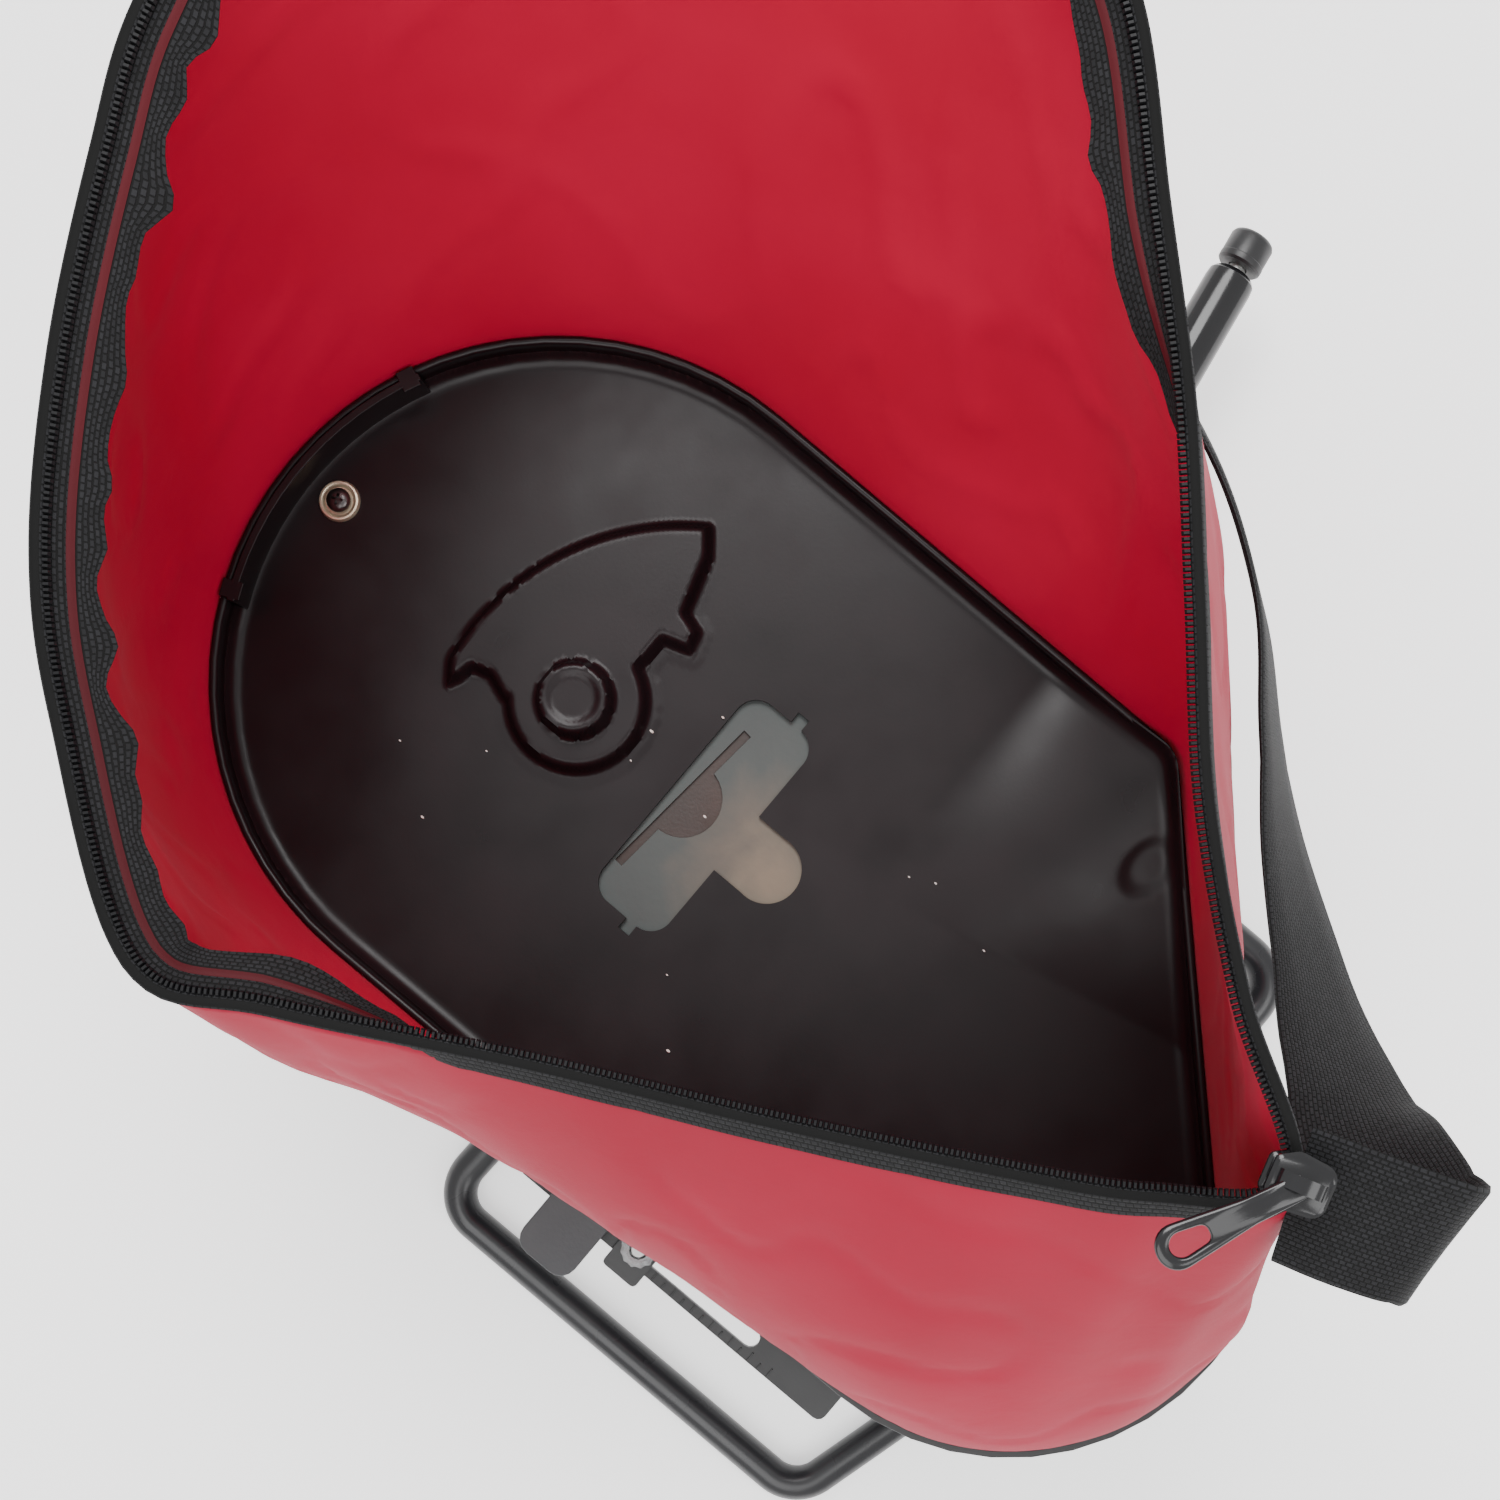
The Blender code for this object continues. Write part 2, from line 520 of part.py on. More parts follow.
def build_gauge():
    gauge = prism("rate_gauge", rounded([(GAUGE_OUTER_X, GAUGE_REAR_Y, 3), (GAUGE_INNER_X, GAUGE_REAR_Y, 3),
                                         (GAUGE_INNER_X, GAUGE_FRONT_Y, 3), (GAUGE_OUTER_X, GAUGE_FRONT_Y, 3)], 30),
                  GAUGE_Z, GAUGE_TOP, "black_plastic")
    top = FLOOR_BOTTOM - GAP
    tools = []
    bores = []
    for name, (x, y) in zip(("front", "rear"), gauge_posts()):
        tools.append(prism(f"gauge_lug_{name}", box_outline(GAUGE_INNER_X - 2, x + 4, y - 5, y + 5),
                           GAUGE_Z, GAUGE_TOP, "black_plastic"))
        tools.append(turned(f"gauge_post_{name}", [(4.5, GAUGE_Z + 0.5), (4.5, top)], "black_plastic", 20,
                            at=(x, y, 0)))
        bores.append(turned(f"gauge_bore_{name}", [(1.8, GAUGE_Z - 1), (1.8, top + 1)], "black_plastic", 12,
                            at=(x, y, 0)))
        screw(f"gauge_screw_{name}", (x, y, GAUGE_Z - GAP), FLOOR_TOP - 1.2 - GAUGE_Z, up=False, radius=1.5,
              head=3.4)
    slot = prism("gauge_slot_cut", rounded([
        (GAUGE_SLOT_X - GAUGE_SLOT_WIDTH / 2, GAUGE_SLOT_REAR_Y, 3.2),
        (GAUGE_SLOT_X + GAUGE_SLOT_WIDTH / 2, GAUGE_SLOT_REAR_Y, 3.2),
        (GAUGE_SLOT_X + GAUGE_SLOT_WIDTH / 2, GAUGE_SLOT_FRONT_Y, 3.2),
        (GAUGE_SLOT_X - GAUGE_SLOT_WIDTH / 2, GAUGE_SLOT_FRONT_Y, 3.2)], 30), GAUGE_Z - 5, GAUGE_TOP + 5,
        "black_plastic")
    combine(gauge, tools, "UNION")
    combine(gauge, [slot] + bores, "DIFFERENCE")

    block_bottom = GAUGE_TOP + RUNNING
    block_top = block_bottom + 3.4
    bolt_radius = GAUGE_SLOT_WIDTH / 2 - RUNNING - 0.4
    block = prism("stop_block", rounded([(-12, -STOP_LENGTH / 2, 1.5), (6, -STOP_LENGTH / 2, 1.5),
                                         (6, STOP_LENGTH / 2, 1.5), (-12, STOP_LENGTH / 2, 1.5)], 45),
                  block_bottom, block_top, "black_plastic", at=(GAUGE_SLOT_X, STOP_Y, 0))
    hole = turned("stop_hole_cut", [(bolt_radius + GAP, block_bottom - 1), (bolt_radius + GAP, block_top + 1)],
                  "black_plastic", 16, at=(GAUGE_SLOT_X, STOP_Y, 0))
    combine(block, [hole], "DIFFERENCE")
    bolt_top = SLIDE_BOTTOM - 1.0
    turned("stop_bolt", [(5.2, GAUGE_Z - RUNNING - 2.6), (5.2, GAUGE_Z - RUNNING), (bolt_radius, GAUGE_Z - RUNNING),
                         (bolt_radius, bolt_top - 0.3)], "zinc_steel", 16, at=(GAUGE_SLOT_X, STOP_Y, 0))
    nut_bottom = block_top + GAP
    flutes = [((THUMB_RADIUS - (0.7 if step % 3 == 0 else 0)) * math.cos(math.radians(15 * step)),
               (THUMB_RADIUS - (0.7 if step % 3 == 0 else 0)) * math.sin(math.radians(15 * step)))
              for step in range(24)]
    bore = circle(bolt_radius + RUNNING, 24)
    nut = loft([level(flutes, nut_bottom), level(flutes, bolt_top), level(bore, bolt_top),
                level(bore, nut_bottom)], closed=True)
    add_mesh("thumb_nut", nut, "clear_plastic", at=(GAUGE_SLOT_X, STOP_Y, 0))


# ---------------------------------------------------------------- drive

def gear(name, large, small, thick, teeth, bore, slot, **place):
    """A bevel wheel: a toothed outline that shrinks towards its small end, with a bore."""
    def outline(radius):
        points = []
        for tooth in range(teeth * 4):
            reach = radius if tooth % 4 in (0, 1) else radius - TOOTH_DEPTH
            angle = 2 * math.pi * tooth / (teeth * 4)
            points.append((reach * math.cos(angle), reach * math.sin(angle)))
        return points
    inner = circle(bore, teeth * 4)
    rings = [level(outline(large), 0), level(outline(small), thick), level(inner, thick), level(inner, 0)]
    return add_mesh(name, loft(rings, closed=True), slot, **place)


def build_impeller():
    hub_top = FLOOR_BOTTOM - 6.0
    rings = [(SHAFT_RADIUS + GAP, IMPELLER_Z), (IMPELLER_RADIUS, IMPELLER_Z),
             (IMPELLER_RADIUS, IMPELLER_Z + IMPELLER_THICK), (HUB_RADIUS, IMPELLER_Z + IMPELLER_THICK),
             (HUB_RADIUS, hub_top), (SHAFT_RADIUS + GAP, hub_top)]
    impeller = turned("impeller", rings, "black_plastic", 40, bored=True)
    fins = []
    for index in range(FIN_COUNT):
        fin = prism(f"fin_form_{index}", box_outline(HUB_RADIUS - 1, IMPELLER_RADIUS - 2, -1.2, 1.2),
                    IMPELLER_Z + 1, FIN_TOP, "black_plastic", turn=(0, 0, 360 / FIN_COUNT * index + 20))
        fins.append(fin)
    combine(impeller, fins, "UNION")
    tube("impeller_clip", SHAFT_RADIUS + GAP, SHAFT_RADIUS + 3, hub_top + GAP, hub_top + 1.8, "zinc_steel", 24)
    pinion_z = CRANK_Z + CRANK_GEAR_RADIUS - 4.5
    turned("impeller_shaft", [(SHAFT_RADIUS, pinion_z - 6), (SHAFT_RADIUS, FLOOR_TOP + BOSS_HEIGHT - 4)],
           "zinc_steel", 24)
    gear("impeller_pinion", PINION_RADIUS - 1.2, PINION_RADIUS, 5.5, 10, SHAFT_RADIUS + GAP, "nylon_gear",
         at=(0, 0, pinion_z))


def shell_half(name, bottom, top, open_up, parent):
    """One half of the gearbox: a box that is open where it meets the other half."""
    outer = rounded([(GEARBOX_INNER_END, -GEARBOX_HALF_WIDTH, 6), (GEARBOX_OUTER_END, -GEARBOX_HALF_WIDTH, 6),
                     (GEARBOX_OUTER_END, GEARBOX_HALF_WIDTH, 6), (GEARBOX_INNER_END, GEARBOX_HALF_WIDTH, 6)], 22)
    inner = offset(outer, -GEARBOX_WALL)
    if open_up:
        rings = [level(outer, bottom), level(outer, top), level(inner, top), level(inner, bottom + GEARBOX_WALL)]
    else:
        rings = [level(outer, top), level(outer, bottom), level(inner, bottom), level(inner, top - GEARBOX_WALL)]
    return add_mesh(name, loft(rings), "black_plastic", parent=parent)


def build_gearbox(skewed):
    split = CRANK_Z
    lower = shell_half("gearbox_lower", GEARBOX_BOTTOM, split - GAP / 2, True, skewed)
    upper = shell_half("gearbox_upper", split + GAP / 2, GEARBOX_TOP, False, skewed)
    shaft_way = SHAFT_RADIUS + BUSH_WALL + GAP
    cut = turned("crank_way_cut", [(shaft_way, GEARBOX_INNER_END - 5), (shaft_way, GEARBOX_OUTER_END + 5)],
                 "black_plastic", 24, parent=skewed, at=(0, 0, CRANK_Z), turn=(0, 90, 0))
    top_cut = turned("impeller_way_cut", [(shaft_way, GEARBOX_TOP - 6), (shaft_way, GEARBOX_TOP + 2)],
                     "black_plastic", 24, parent=skewed)
    lower_ears, upper_ears, ear_holes = [], [], []
    for x in (GEARBOX_INNER_END + 10, GEARBOX_OUTER_END - 10):
        for side in (-1, 1):
            y = side * (GEARBOX_HALF_WIDTH + 4)
            ear = box_outline(x - 5, x + 5, y - 5, y + 5)
            tag = f"{'inner' if x < 0 else 'outer'}_{'rear' if side < 0 else 'front'}"
            lower_ears.append(prism(f"lower_ear_{tag}", ear, split - GAP / 2 - 4, split - GAP / 2, "black_plastic",
                                    parent=skewed))
            upper_ears.append(prism(f"upper_ear_{tag}", ear, split + GAP / 2, split + GAP / 2 + 4, "black_plastic",
                                    parent=skewed))
            ear_holes.append(turned(f"ear_hole_{tag}", [(1.9, split - 9), (1.9, split + 9)], "black_plastic", 12,
                                    parent=skewed, at=(x, y + side * 1.5, 0)))
            screw(f"gearbox_screw_{tag}", (x, y + side * 1.5, split + GAP / 2 + 4 + GAP), 9, radius=1.6, head=3.2,
                  parent=skewed)
    floor_holes = []
    for tag, x in (("inner", GEARBOX_INNER_END + 8), ("outer", GEARBOX_OUTER_END - 8)):
        floor_holes.append(turned(f"floor_hole_{tag}", [(2.3, 5), (2.3, GEARBOX_BOTTOM + 4)], "black_plastic", 12,
                                  parent=skewed, at=(x, 0, 0)))
        screw(f"gearbox_mount_screw_{tag}", (x, 0, TUBE_TOP), 8, up=False, parent=skewed)
    combine(lower, lower_ears, "UNION")
    combine(lower, [cut] + ear_holes + floor_holes, "DIFFERENCE")
    combine(upper, upper_ears, "UNION")
    combine(upper, [cut, top_cut] + ear_holes, "DIFFERENCE")
    inner, outer = SHAFT_RADIUS + RUNNING, SHAFT_RADIUS + BUSH_WALL
    for name, start, end in (("crank_bush_inner", GEARBOX_INNER_END, GEARBOX_INNER_END + 6),
                             ("crank_bush_outer", GEARBOX_OUTER_END - 6, GEARBOX_OUTER_END + 3)):
        tube(name, inner, outer, start, end, "brass", 24, parent=skewed, at=(0, 0, CRANK_Z), turn=(0, 90, 0))
    tube("impeller_bush", inner, outer, GEARBOX_TOP - 5, GEARBOX_TOP + 2, "brass", 24)

    bracket_bottom = TUBE_TOP + GAP
    strap = prism("gearbox_bracket", box_outline(-FRAME_HALF_WIDTH - 5, FRAME_HALF_WIDTH + 5, -BRACKET_HALF_WIDTH,
                                                 BRACKET_HALF_WIDTH), bracket_bottom, bracket_bottom + BRACKET_THICK,
                  "zinc_steel")
    holes = []
    for side in (-1, 1):
        holes.append(turned(f"bracket_hole_{side}", [(2.6, 0), (2.6, 30)], "zinc_steel", 16,
                            at=(side * FRAME_HALF_WIDTH, 0, 0)))
    combine(strap, holes + floor_holes, "DIFFERENCE")


def build_crank(skewed):
    """Crank shaft along local X of the skewed frame; the arm points to the rear at rest."""
    axis = {"parent": skewed, "at": (0, 0, CRANK_Z), "turn": (0, 90, 0)}
    turned("crank_shaft", [(SHAFT_RADIUS, GEARBOX_INNER_END - 1), (SHAFT_RADIUS, CRANK_SHAFT_END)], "zinc_steel",
           24, **axis)
    gear("crank_gear", CRANK_GEAR_RADIUS - 2.5, CRANK_GEAR_RADIUS, 6, 28, SHAFT_RADIUS + GAP, "nylon_gear",
         parent=skewed, at=(PINION_RADIUS + 1.6, 0, CRANK_Z), turn=(0, 90, 0))
    turned("crank_end_cap", [(6.5, CRANK_SHAFT_END + GAP), (6.5, CRANK_SHAFT_END + 2.5), (3, CRANK_SHAFT_END + 4)],
           "zinc_steel", 20, **axis)
    arm_start = CRANK_SHAFT_END - CRANK_ARM_THICK - 2
    arm_end = arm_start + CRANK_ARM_THICK
    shoulder, tip = 13.0, 10.0
    hull = []
    for step in range(13):
        angle = math.radians(180 * step / 12)
        hull.append((shoulder * math.cos(angle), shoulder * math.sin(angle)))
    for step in range(13):
        angle = math.radians(180 + 180 * step / 12)
        hull.append((tip * math.cos(angle), -CRANK_LENGTH + tip * math.sin(angle)))
    arm = add_mesh("crank_arm", loft([[(arm_start, y, CRANK_Z + x) for x, y in hull],
                                      [(arm_end, y, CRANK_Z + x) for x, y in hull]]), "black_plastic",
                   parent=skewed)
    pin_radius = 3.2
    cuts = [turned("arm_shaft_cut", [(SHAFT_RADIUS + GAP, 0), (SHAFT_RADIUS + GAP, 300)], "black_plastic", 24,
                   **axis),
            turned("arm_pin_cut", [(pin_radius + GAP, 0), (pin_radius + GAP, 300)], "black_plastic", 20,
                   parent=skewed, at=(0, -CRANK_LENGTH, CRANK_Z), turn=(0, 90, 0))]
    combine(arm, cuts, "DIFFERENCE")
    pin = {"parent": skewed, "at": (0, -CRANK_LENGTH, CRANK_Z), "turn": (0, 90, 0)}
    grip_start = arm_end + 2.5
    grip_end = grip_start + KNOB_LENGTH
    neck_end = grip_end + 2.5
    turned("knob_pin", [(6, arm_start - 2.5), (6, arm_start - GAP), (pin_radius, arm_start - GAP),
                        (pin_radius, neck_end + KNOB_CAP_LENGTH - 4)], "zinc_steel", 20, **pin)
    bore = pin_radius + RUNNING
    turned("knob_grip", [(bore, grip_start), (KNOB_RADIUS - 1.5, grip_start), (KNOB_RADIUS, grip_start + 3),
                         (KNOB_RADIUS, grip_end - 4), (KNOB_RADIUS - 0.8, grip_end - 1.2),
                         (KNOB_RADIUS - 2.4, grip_end), (bore, grip_end)], "black_plastic", 28, bored=True, **pin)
    cap_hole = pin_radius + GAP
    turned("knob_cap", [(cap_hole, neck_end), (KNOB_CAP_RADIUS - 0.6, neck_end), (KNOB_CAP_RADIUS, neck_end + 1),
                        (KNOB_CAP_RADIUS, neck_end + KNOB_CAP_LENGTH - 2),
                        (KNOB_CAP_RADIUS - 1.5, neck_end + KNOB_CAP_LENGTH),
                        (1.2, neck_end + KNOB_CAP_LENGTH), (1.2, neck_end + KNOB_CAP_LENGTH - 3.5),
                        (cap_hole, neck_end + KNOB_CAP_LENGTH - 3.5)], "black_plastic", 28, bored=True, **pin)


# ---------------------------------------------------------------- bag

def curve(points, closed):
    """Fine points of a Catmull-Rom curve through the given ones."""
    size = len(points)
    fine = []
    for index in range(size if closed else size - 1):
        picks = [index + shift for shift in (-1, 0, 1, 2)]
        if closed:
            picks = [pick % size for pick in picks]
        a, b, c, d = (Vector(points[min(max(pick, 0), size - 1)]) for pick in picks)
        for step in range(8):
            t = step / 8
            fine.append(0.5 * (2 * b + (c - a) * t + (2 * a - 5 * b + 4 * c - d) * t * t
                               + (3 * b - a - 3 * c + d) * t ** 3))
    fine.append(fine[0].copy() if closed else Vector(points[-1]))
    return fine


def along(points, shares):
    """Points of a polyline at the given shares of its length."""
    lengths = [0.0]
    for first, second in zip(points, points[1:]):
        lengths.append(lengths[-1] + (second - first).length)
    result = []
    place = 0
    for share in shares:
        target = lengths[-1] * share
        while place < len(points) - 2 and lengths[place + 1] < target:
            place += 1
        span = max(lengths[place + 1] - lengths[place], 0.001)
        result.append(points[place].lerp(points[place + 1], min(1.0, (target - lengths[place]) / span)))
    return result


def between(values, share):
    """A value at that share of a list whose entries are evenly spaced."""
    spot = share * (len(values) - 1)
    index = min(int(spot), len(values) - 2)
    return Vector(values[index]).lerp(Vector(values[index + 1]), spot - index)


def rim_and_mouth():
    """The same number of points round the pan's rim and round the mouth, in step by length."""
    rim = dense(pan_outline(), BAG_SPACING)
    lengths = [0.0]
    for index, here in enumerate(rim):
        lengths.append(lengths[-1] + math.dist(here, rim[(index + 1) % len(rim)]))
    mouth = along(curve(MOUTH, True), [length / lengths[-1] for length in lengths[:-1]])
    return rim, mouth


def bag_rings(inset, tape):
    """Rings of the bag wall from hem to mouth, set out by a distance along the plan normals."""
    outline, mouth = rim_and_mouth()
    rim = offset(outline, GAP)
    ways = normals(rim)
    rings = [[Vector((x, y, HEM_BOTTOM)) for x, y in rim], [Vector((x, y, RIM_TOP)) for x, y in rim]]
    for step in range(1, BAG_RINGS + 1):
        t = step / BAG_RINGS
        spread = t ** 1.25
        bulge = 12.0 * math.sin(math.pi * t) * (1 - 0.4 * t)
        ring = []
        for (x, y), high, way in zip(rim, mouth, ways):
            height = RIM_TOP + (high.z - tape - RIM_TOP) * t
            ring.append(Vector((x + (high.x - x) * spread + way.x * bulge, y + (high.y - y) * spread + way.y * bulge,
                                height)))
        rings.append(ring)
    return [[(p.x + n.x * inset, p.y + n.y * inset, p.z) for p, n in zip(ring, normals([(p.x, p.y) for p in ring]))]
            for ring in rings]


def build_bag():
    tape = TAPE_HEIGHT + GAP
    outer = bag_rings(FABRIC, tape)
    inner = bag_rings(0.0, tape)
    add_mesh("bag_shell", loft(outer + inner[::-1], closed=True), "red_fabric")
    clear = GAP + FABRIC + GAP
    add_mesh("hem_band", sweep(dense(pan_outline(), BAG_SPACING),
                               strip(clear, clear + BAND_THICK, BAND_BOTTOM, BAND_BOTTOM + BAND_HEIGHT), True),
             "black_plastic")
    mouth = rim_and_mouth()[1]
    ways = normals([(p.x, p.y) for p in mouth])
    count = len(mouth)
    half = count // 2
    for name, first, last in (("zip_tape_right", 0, half), ("zip_tape_left", half, count)):
        rings = []
        for index in range(first, last + 1):
            here, way = mouth[index % count], ways[index % count]
            if index == first:
                here = here.lerp(mouth[index + 1], 0.1)
            if index == last:
                here = here.lerp(mouth[index - 1], 0.1)
            rings.append([(here.x + way.x * out, here.y + way.y * out, here.z + z)
                          for out, z in strip(0, TAPE_THICK, -TAPE_HEIGHT, 0)])
        add_mesh(name, loft(rings), "black_webbing")


def build_zip_ends():
    mouth = rim_and_mouth()[1]
    ways = normals([(p.x, p.y) for p in mouth])
    half = len(mouth) // 2
    tip, out = mouth[0], ways[0]
    heading = math.degrees(math.atan2(out.y, out.x))
    slider_at = (tip.x + out.x, tip.y + out.y, tip.z + 1.0)
    body = rounded([(-5, -7, 3), (6, -7, 3), (6, 7, 3), (-5, 7, 3)], 30)
    add_mesh("zip_slider", loft([level(body, 0), level([(x * 0.85, y * 0.85) for x, y in body], 6)]),
             "black_plastic", at=slider_at, turn=(0, 0, heading))
    pull = rounded([(-1, -5, 1), (34, -7, 5), (34, 7, 5), (-1, 5, 1)], 30)
    puller = prism("zip_puller", pull, 0, 2, "black_plastic", at=(slider_at[0], slider_at[1], slider_at[2] + 6.6),
                   turn=(0, 0, PULLER_HEADING))
    hole = prism("puller_cut", rounded([(18, -3.5, 2), (30, -4, 3), (30, 4, 3), (18, 3.5, 2)], 30), -2, 4,
                 "black_plastic", parent=puller)
    combine(puller, [hole], "DIFFERENCE")
    far, far_out = mouth[half], ways[half]
    prism("zip_end_stop", box_outline(-2, 4, -5, 5), 0, 4, "black_plastic",
          at=(far.x + far_out.x, far.y + far_out.y, far.z + 1.0), turn=(0, 0, math.degrees(
              math.atan2(far_out.y, far_out.x))))


def build_strap():
    """Webbing: a flat ribbon whose width direction changes along the route."""
    steps = 34
    shares = [step / steps for step in range(steps + 1)]
    route = along(curve(STRAP_ROUTE, False), shares)
    leans = [between(STRAP_LEANS, share) for share in shares]
    rings = []
    for index, here in enumerate(route):
        ahead = (route[min(len(route) - 1, index + 1)] - route[max(0, index - 1)]).normalized()
        lean = leans[index]
        across = (lean - ahead * lean.dot(ahead)).normalized()
        side, thick = across * STRAP_WIDTH / 2, ahead.cross(across) * STRAP_THICK / 2
        rings.append([here - side - thick, here + side - thick, here + side + thick, here - side + thick])
    add_mesh("shoulder_strap", loft(rings), "black_webbing")


def build_rear_guard():
    """Pale skirt that hangs under the hem band round the rear left of the pan."""
    whole = pan_outline()
    rear = [point for point in whole if point[1] < PAN_CUT_Y - 60 and point[0] < 30]
    rear.sort(key=lambda point: math.atan2(point[1] + 150, point[0] + 60))
    bottom, top = FLOOR_BOTTOM - 14, FLOOR_BOTTOM - 0.5
    section = [(5.6, bottom), (7.4, bottom), (2.4, top), (0.6, top)]
    add_mesh("rear_guard", sweep(rear, section, False), "pale_guard")


def stand_on_origin():
    """Move everything so that the box's bottom centre is at the origin."""
    bpy.context.view_layer.update()
    depsgraph = bpy.context.evaluated_depsgraph_get()
    corners = []
    for obj in bpy.data.objects:
        if obj.type == "MESH" and not obj.hide_render:
            solid = obj.evaluated_get(depsgraph)
            corners += [solid.matrix_world @ vertex.co for vertex in solid.data.vertices]
    lows = [min(corner[axis] for corner in corners) for axis in range(3)]
    highs = [max(corner[axis] for corner in corners) for axis in range(3)]
    shift = Vector((-(lows[0] + highs[0]) / 2, -(lows[1] + highs[1]) / 2, -lows[2]))
    for obj in bpy.data.objects:
        if obj.parent is None:
            obj.location += shift


def main():
    clear_scene()
    skewed = bpy.data.objects.new("crank_frame", None)
    bpy.context.scene.collection.objects.link(skewed)
    skewed.rotation_euler = (0, 0, math.radians(CRANK_SKEW))
    build_pan()
    build_front_band()
    build_port()
    build_frame()
    build_gauge()
    build_impeller()
    build_gearbox(skewed)
    build_crank(skewed)
    build_bag()
    build_zip_ends()
    build_strap()
    build_rear_guard()
    stand_on_origin()


main()
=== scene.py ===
"""Looks of the hand-cranked spreader: the red bag, its zip and strap, the moulded pan and the studio.

Places are in millimetres from the floor point straight below the impeller shaft, with +X at the
operator's right and +Y forward. make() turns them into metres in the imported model's frame.
"""
import json
import math
import random

import bmesh
import bpy
import numpy as np
from mathutils import Matrix, Vector, noise

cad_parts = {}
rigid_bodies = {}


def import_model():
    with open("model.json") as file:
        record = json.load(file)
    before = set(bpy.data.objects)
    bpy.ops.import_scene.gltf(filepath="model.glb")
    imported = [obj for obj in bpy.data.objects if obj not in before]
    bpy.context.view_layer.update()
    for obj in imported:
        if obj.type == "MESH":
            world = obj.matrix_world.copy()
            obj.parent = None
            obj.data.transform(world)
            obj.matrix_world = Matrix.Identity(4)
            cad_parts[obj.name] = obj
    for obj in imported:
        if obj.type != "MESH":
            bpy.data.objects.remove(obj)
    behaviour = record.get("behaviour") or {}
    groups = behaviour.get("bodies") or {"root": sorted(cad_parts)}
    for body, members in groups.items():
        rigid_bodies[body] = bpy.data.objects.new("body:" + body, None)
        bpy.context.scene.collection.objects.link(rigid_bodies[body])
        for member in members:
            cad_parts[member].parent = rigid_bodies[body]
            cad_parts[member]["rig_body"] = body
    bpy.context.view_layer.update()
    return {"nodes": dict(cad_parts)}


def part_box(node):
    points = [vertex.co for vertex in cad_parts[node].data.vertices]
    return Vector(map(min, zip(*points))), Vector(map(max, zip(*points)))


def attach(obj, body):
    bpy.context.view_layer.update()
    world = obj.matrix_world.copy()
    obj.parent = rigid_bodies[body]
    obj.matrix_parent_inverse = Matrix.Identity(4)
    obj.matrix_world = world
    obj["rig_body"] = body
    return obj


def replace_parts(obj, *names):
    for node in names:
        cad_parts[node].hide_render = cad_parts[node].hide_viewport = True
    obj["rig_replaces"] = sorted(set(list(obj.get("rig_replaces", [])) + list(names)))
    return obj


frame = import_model()

MM = 0.001
shaft_low, shaft_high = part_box("impeller_shaft")
SHAFT = Vector(((shaft_low.x + shaft_high.x) / 2, (shaft_low.y + shaft_high.y) / 2, 0))


def place(x, y, z):
    """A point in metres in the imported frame."""
    return SHAFT + Vector((x, y, z)) * MM


def node_box(node):
    """Lowest and highest corner of a CAD node, in millimetres from the shaft."""
    low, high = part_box(node)
    return (low - SHAFT) / MM, (high - SHAFT) / MM


def middle_of(low, high):
    """The point on the floor below the middle of a box."""
    return Vector(((low.x + high.x) / 2, (low.y + high.y) / 2, 0))


PAN_LOW, PAN_HIGH = node_box("hopper_pan")
PAN_WALL = 2.5
RIM_HEIGHT = 14.0
FLOOR_TOP = PAN_LOW.z + PAN_WALL
RIM_TOP = FLOOR_TOP + RIM_HEIGHT
PAN_HALF = (PAN_HIGH.x - PAN_LOW.x) / 2
PAN_CUT_Y = -160.0         # the slanted rear right side starts here
PLATEAU_HEIGHT = 6.0
KEYHOLE_LIGHT_POOL = (-2, -86)   # the port plate's painted pool of light is centred here
GAP = 0.3                  # between the pan's rim and the bag's inner face

# Mouth of the bag: points chosen round the opened zip, from the closed end over the right side
MOUTH = [(22, -240, 285), (48, -202, 285), (79, -164, 287), (114, -131, 290), (148, -98, 296),
         (177, -64, 305), (204, -31, 316), (216, 0, 322), (214, 35, 327), (198, 74, 330),
         (156, 121, 330), (107, 145, 325), (58, 141, 318), (26, 130, 312), (-16, 111, 305),
         (-56, 88, 295), (-85, 62, 285), (-122, 14, 272), (-110, -18, 262), (-79, -77, 255),
         (-52, -131, 255), (-22, -186, 262), (-2, -218, 272)]
BAG_AROUND = 300           # places round the bag
BAG_RINGS = 44             # steps up the bag
FABRIC = 1.8
BAG_SWELL = 12.0           # how far the wall stands out; it fades at the taut rear end

# Strap route: from the closed end of the zip, over a fold, along the right side to the far end
STRAP_ROUTE = [(20, -245, 275), (26, -262, 281), (32, -277, 281), (35, -283, 272), (36, -278, 262),
               (43, -262, 247), (56, -246, 226), (73, -226, 208), (97, -197, 200), (120, -173, 198),
               (145, -148, 198), (168, -112, 200), (182, -66, 204), (187, -15, 212), (185, 42, 222),
               (174, 98, 244), (155, 142, 276), (121, 154, 304)]
# Direction of the strap's width at even steps along the route
STRAP_LEANS = [(-1, -0.13, -0.5), (-1, -0.13, -0.3), (-0.6, 0.3, 0.5), (-0.45, 0.45, 0.77),
               (-0.25, 0.25, 0.95), (-0.2, 0.1, 1), (-0.3, 0, 1), (-0.3, 0, 1), (-0.3, 0, 1), (-0.3, 0, 1),
               (-0.4, -0.1, 0.9), (-0.6, 0.1, 0.7), (-0.9, 0.35, 0.3)]
STRAP_WIDTH = 38.0
STRAP_THICK = 2.2


# ---------------------------------------------------------------- materials

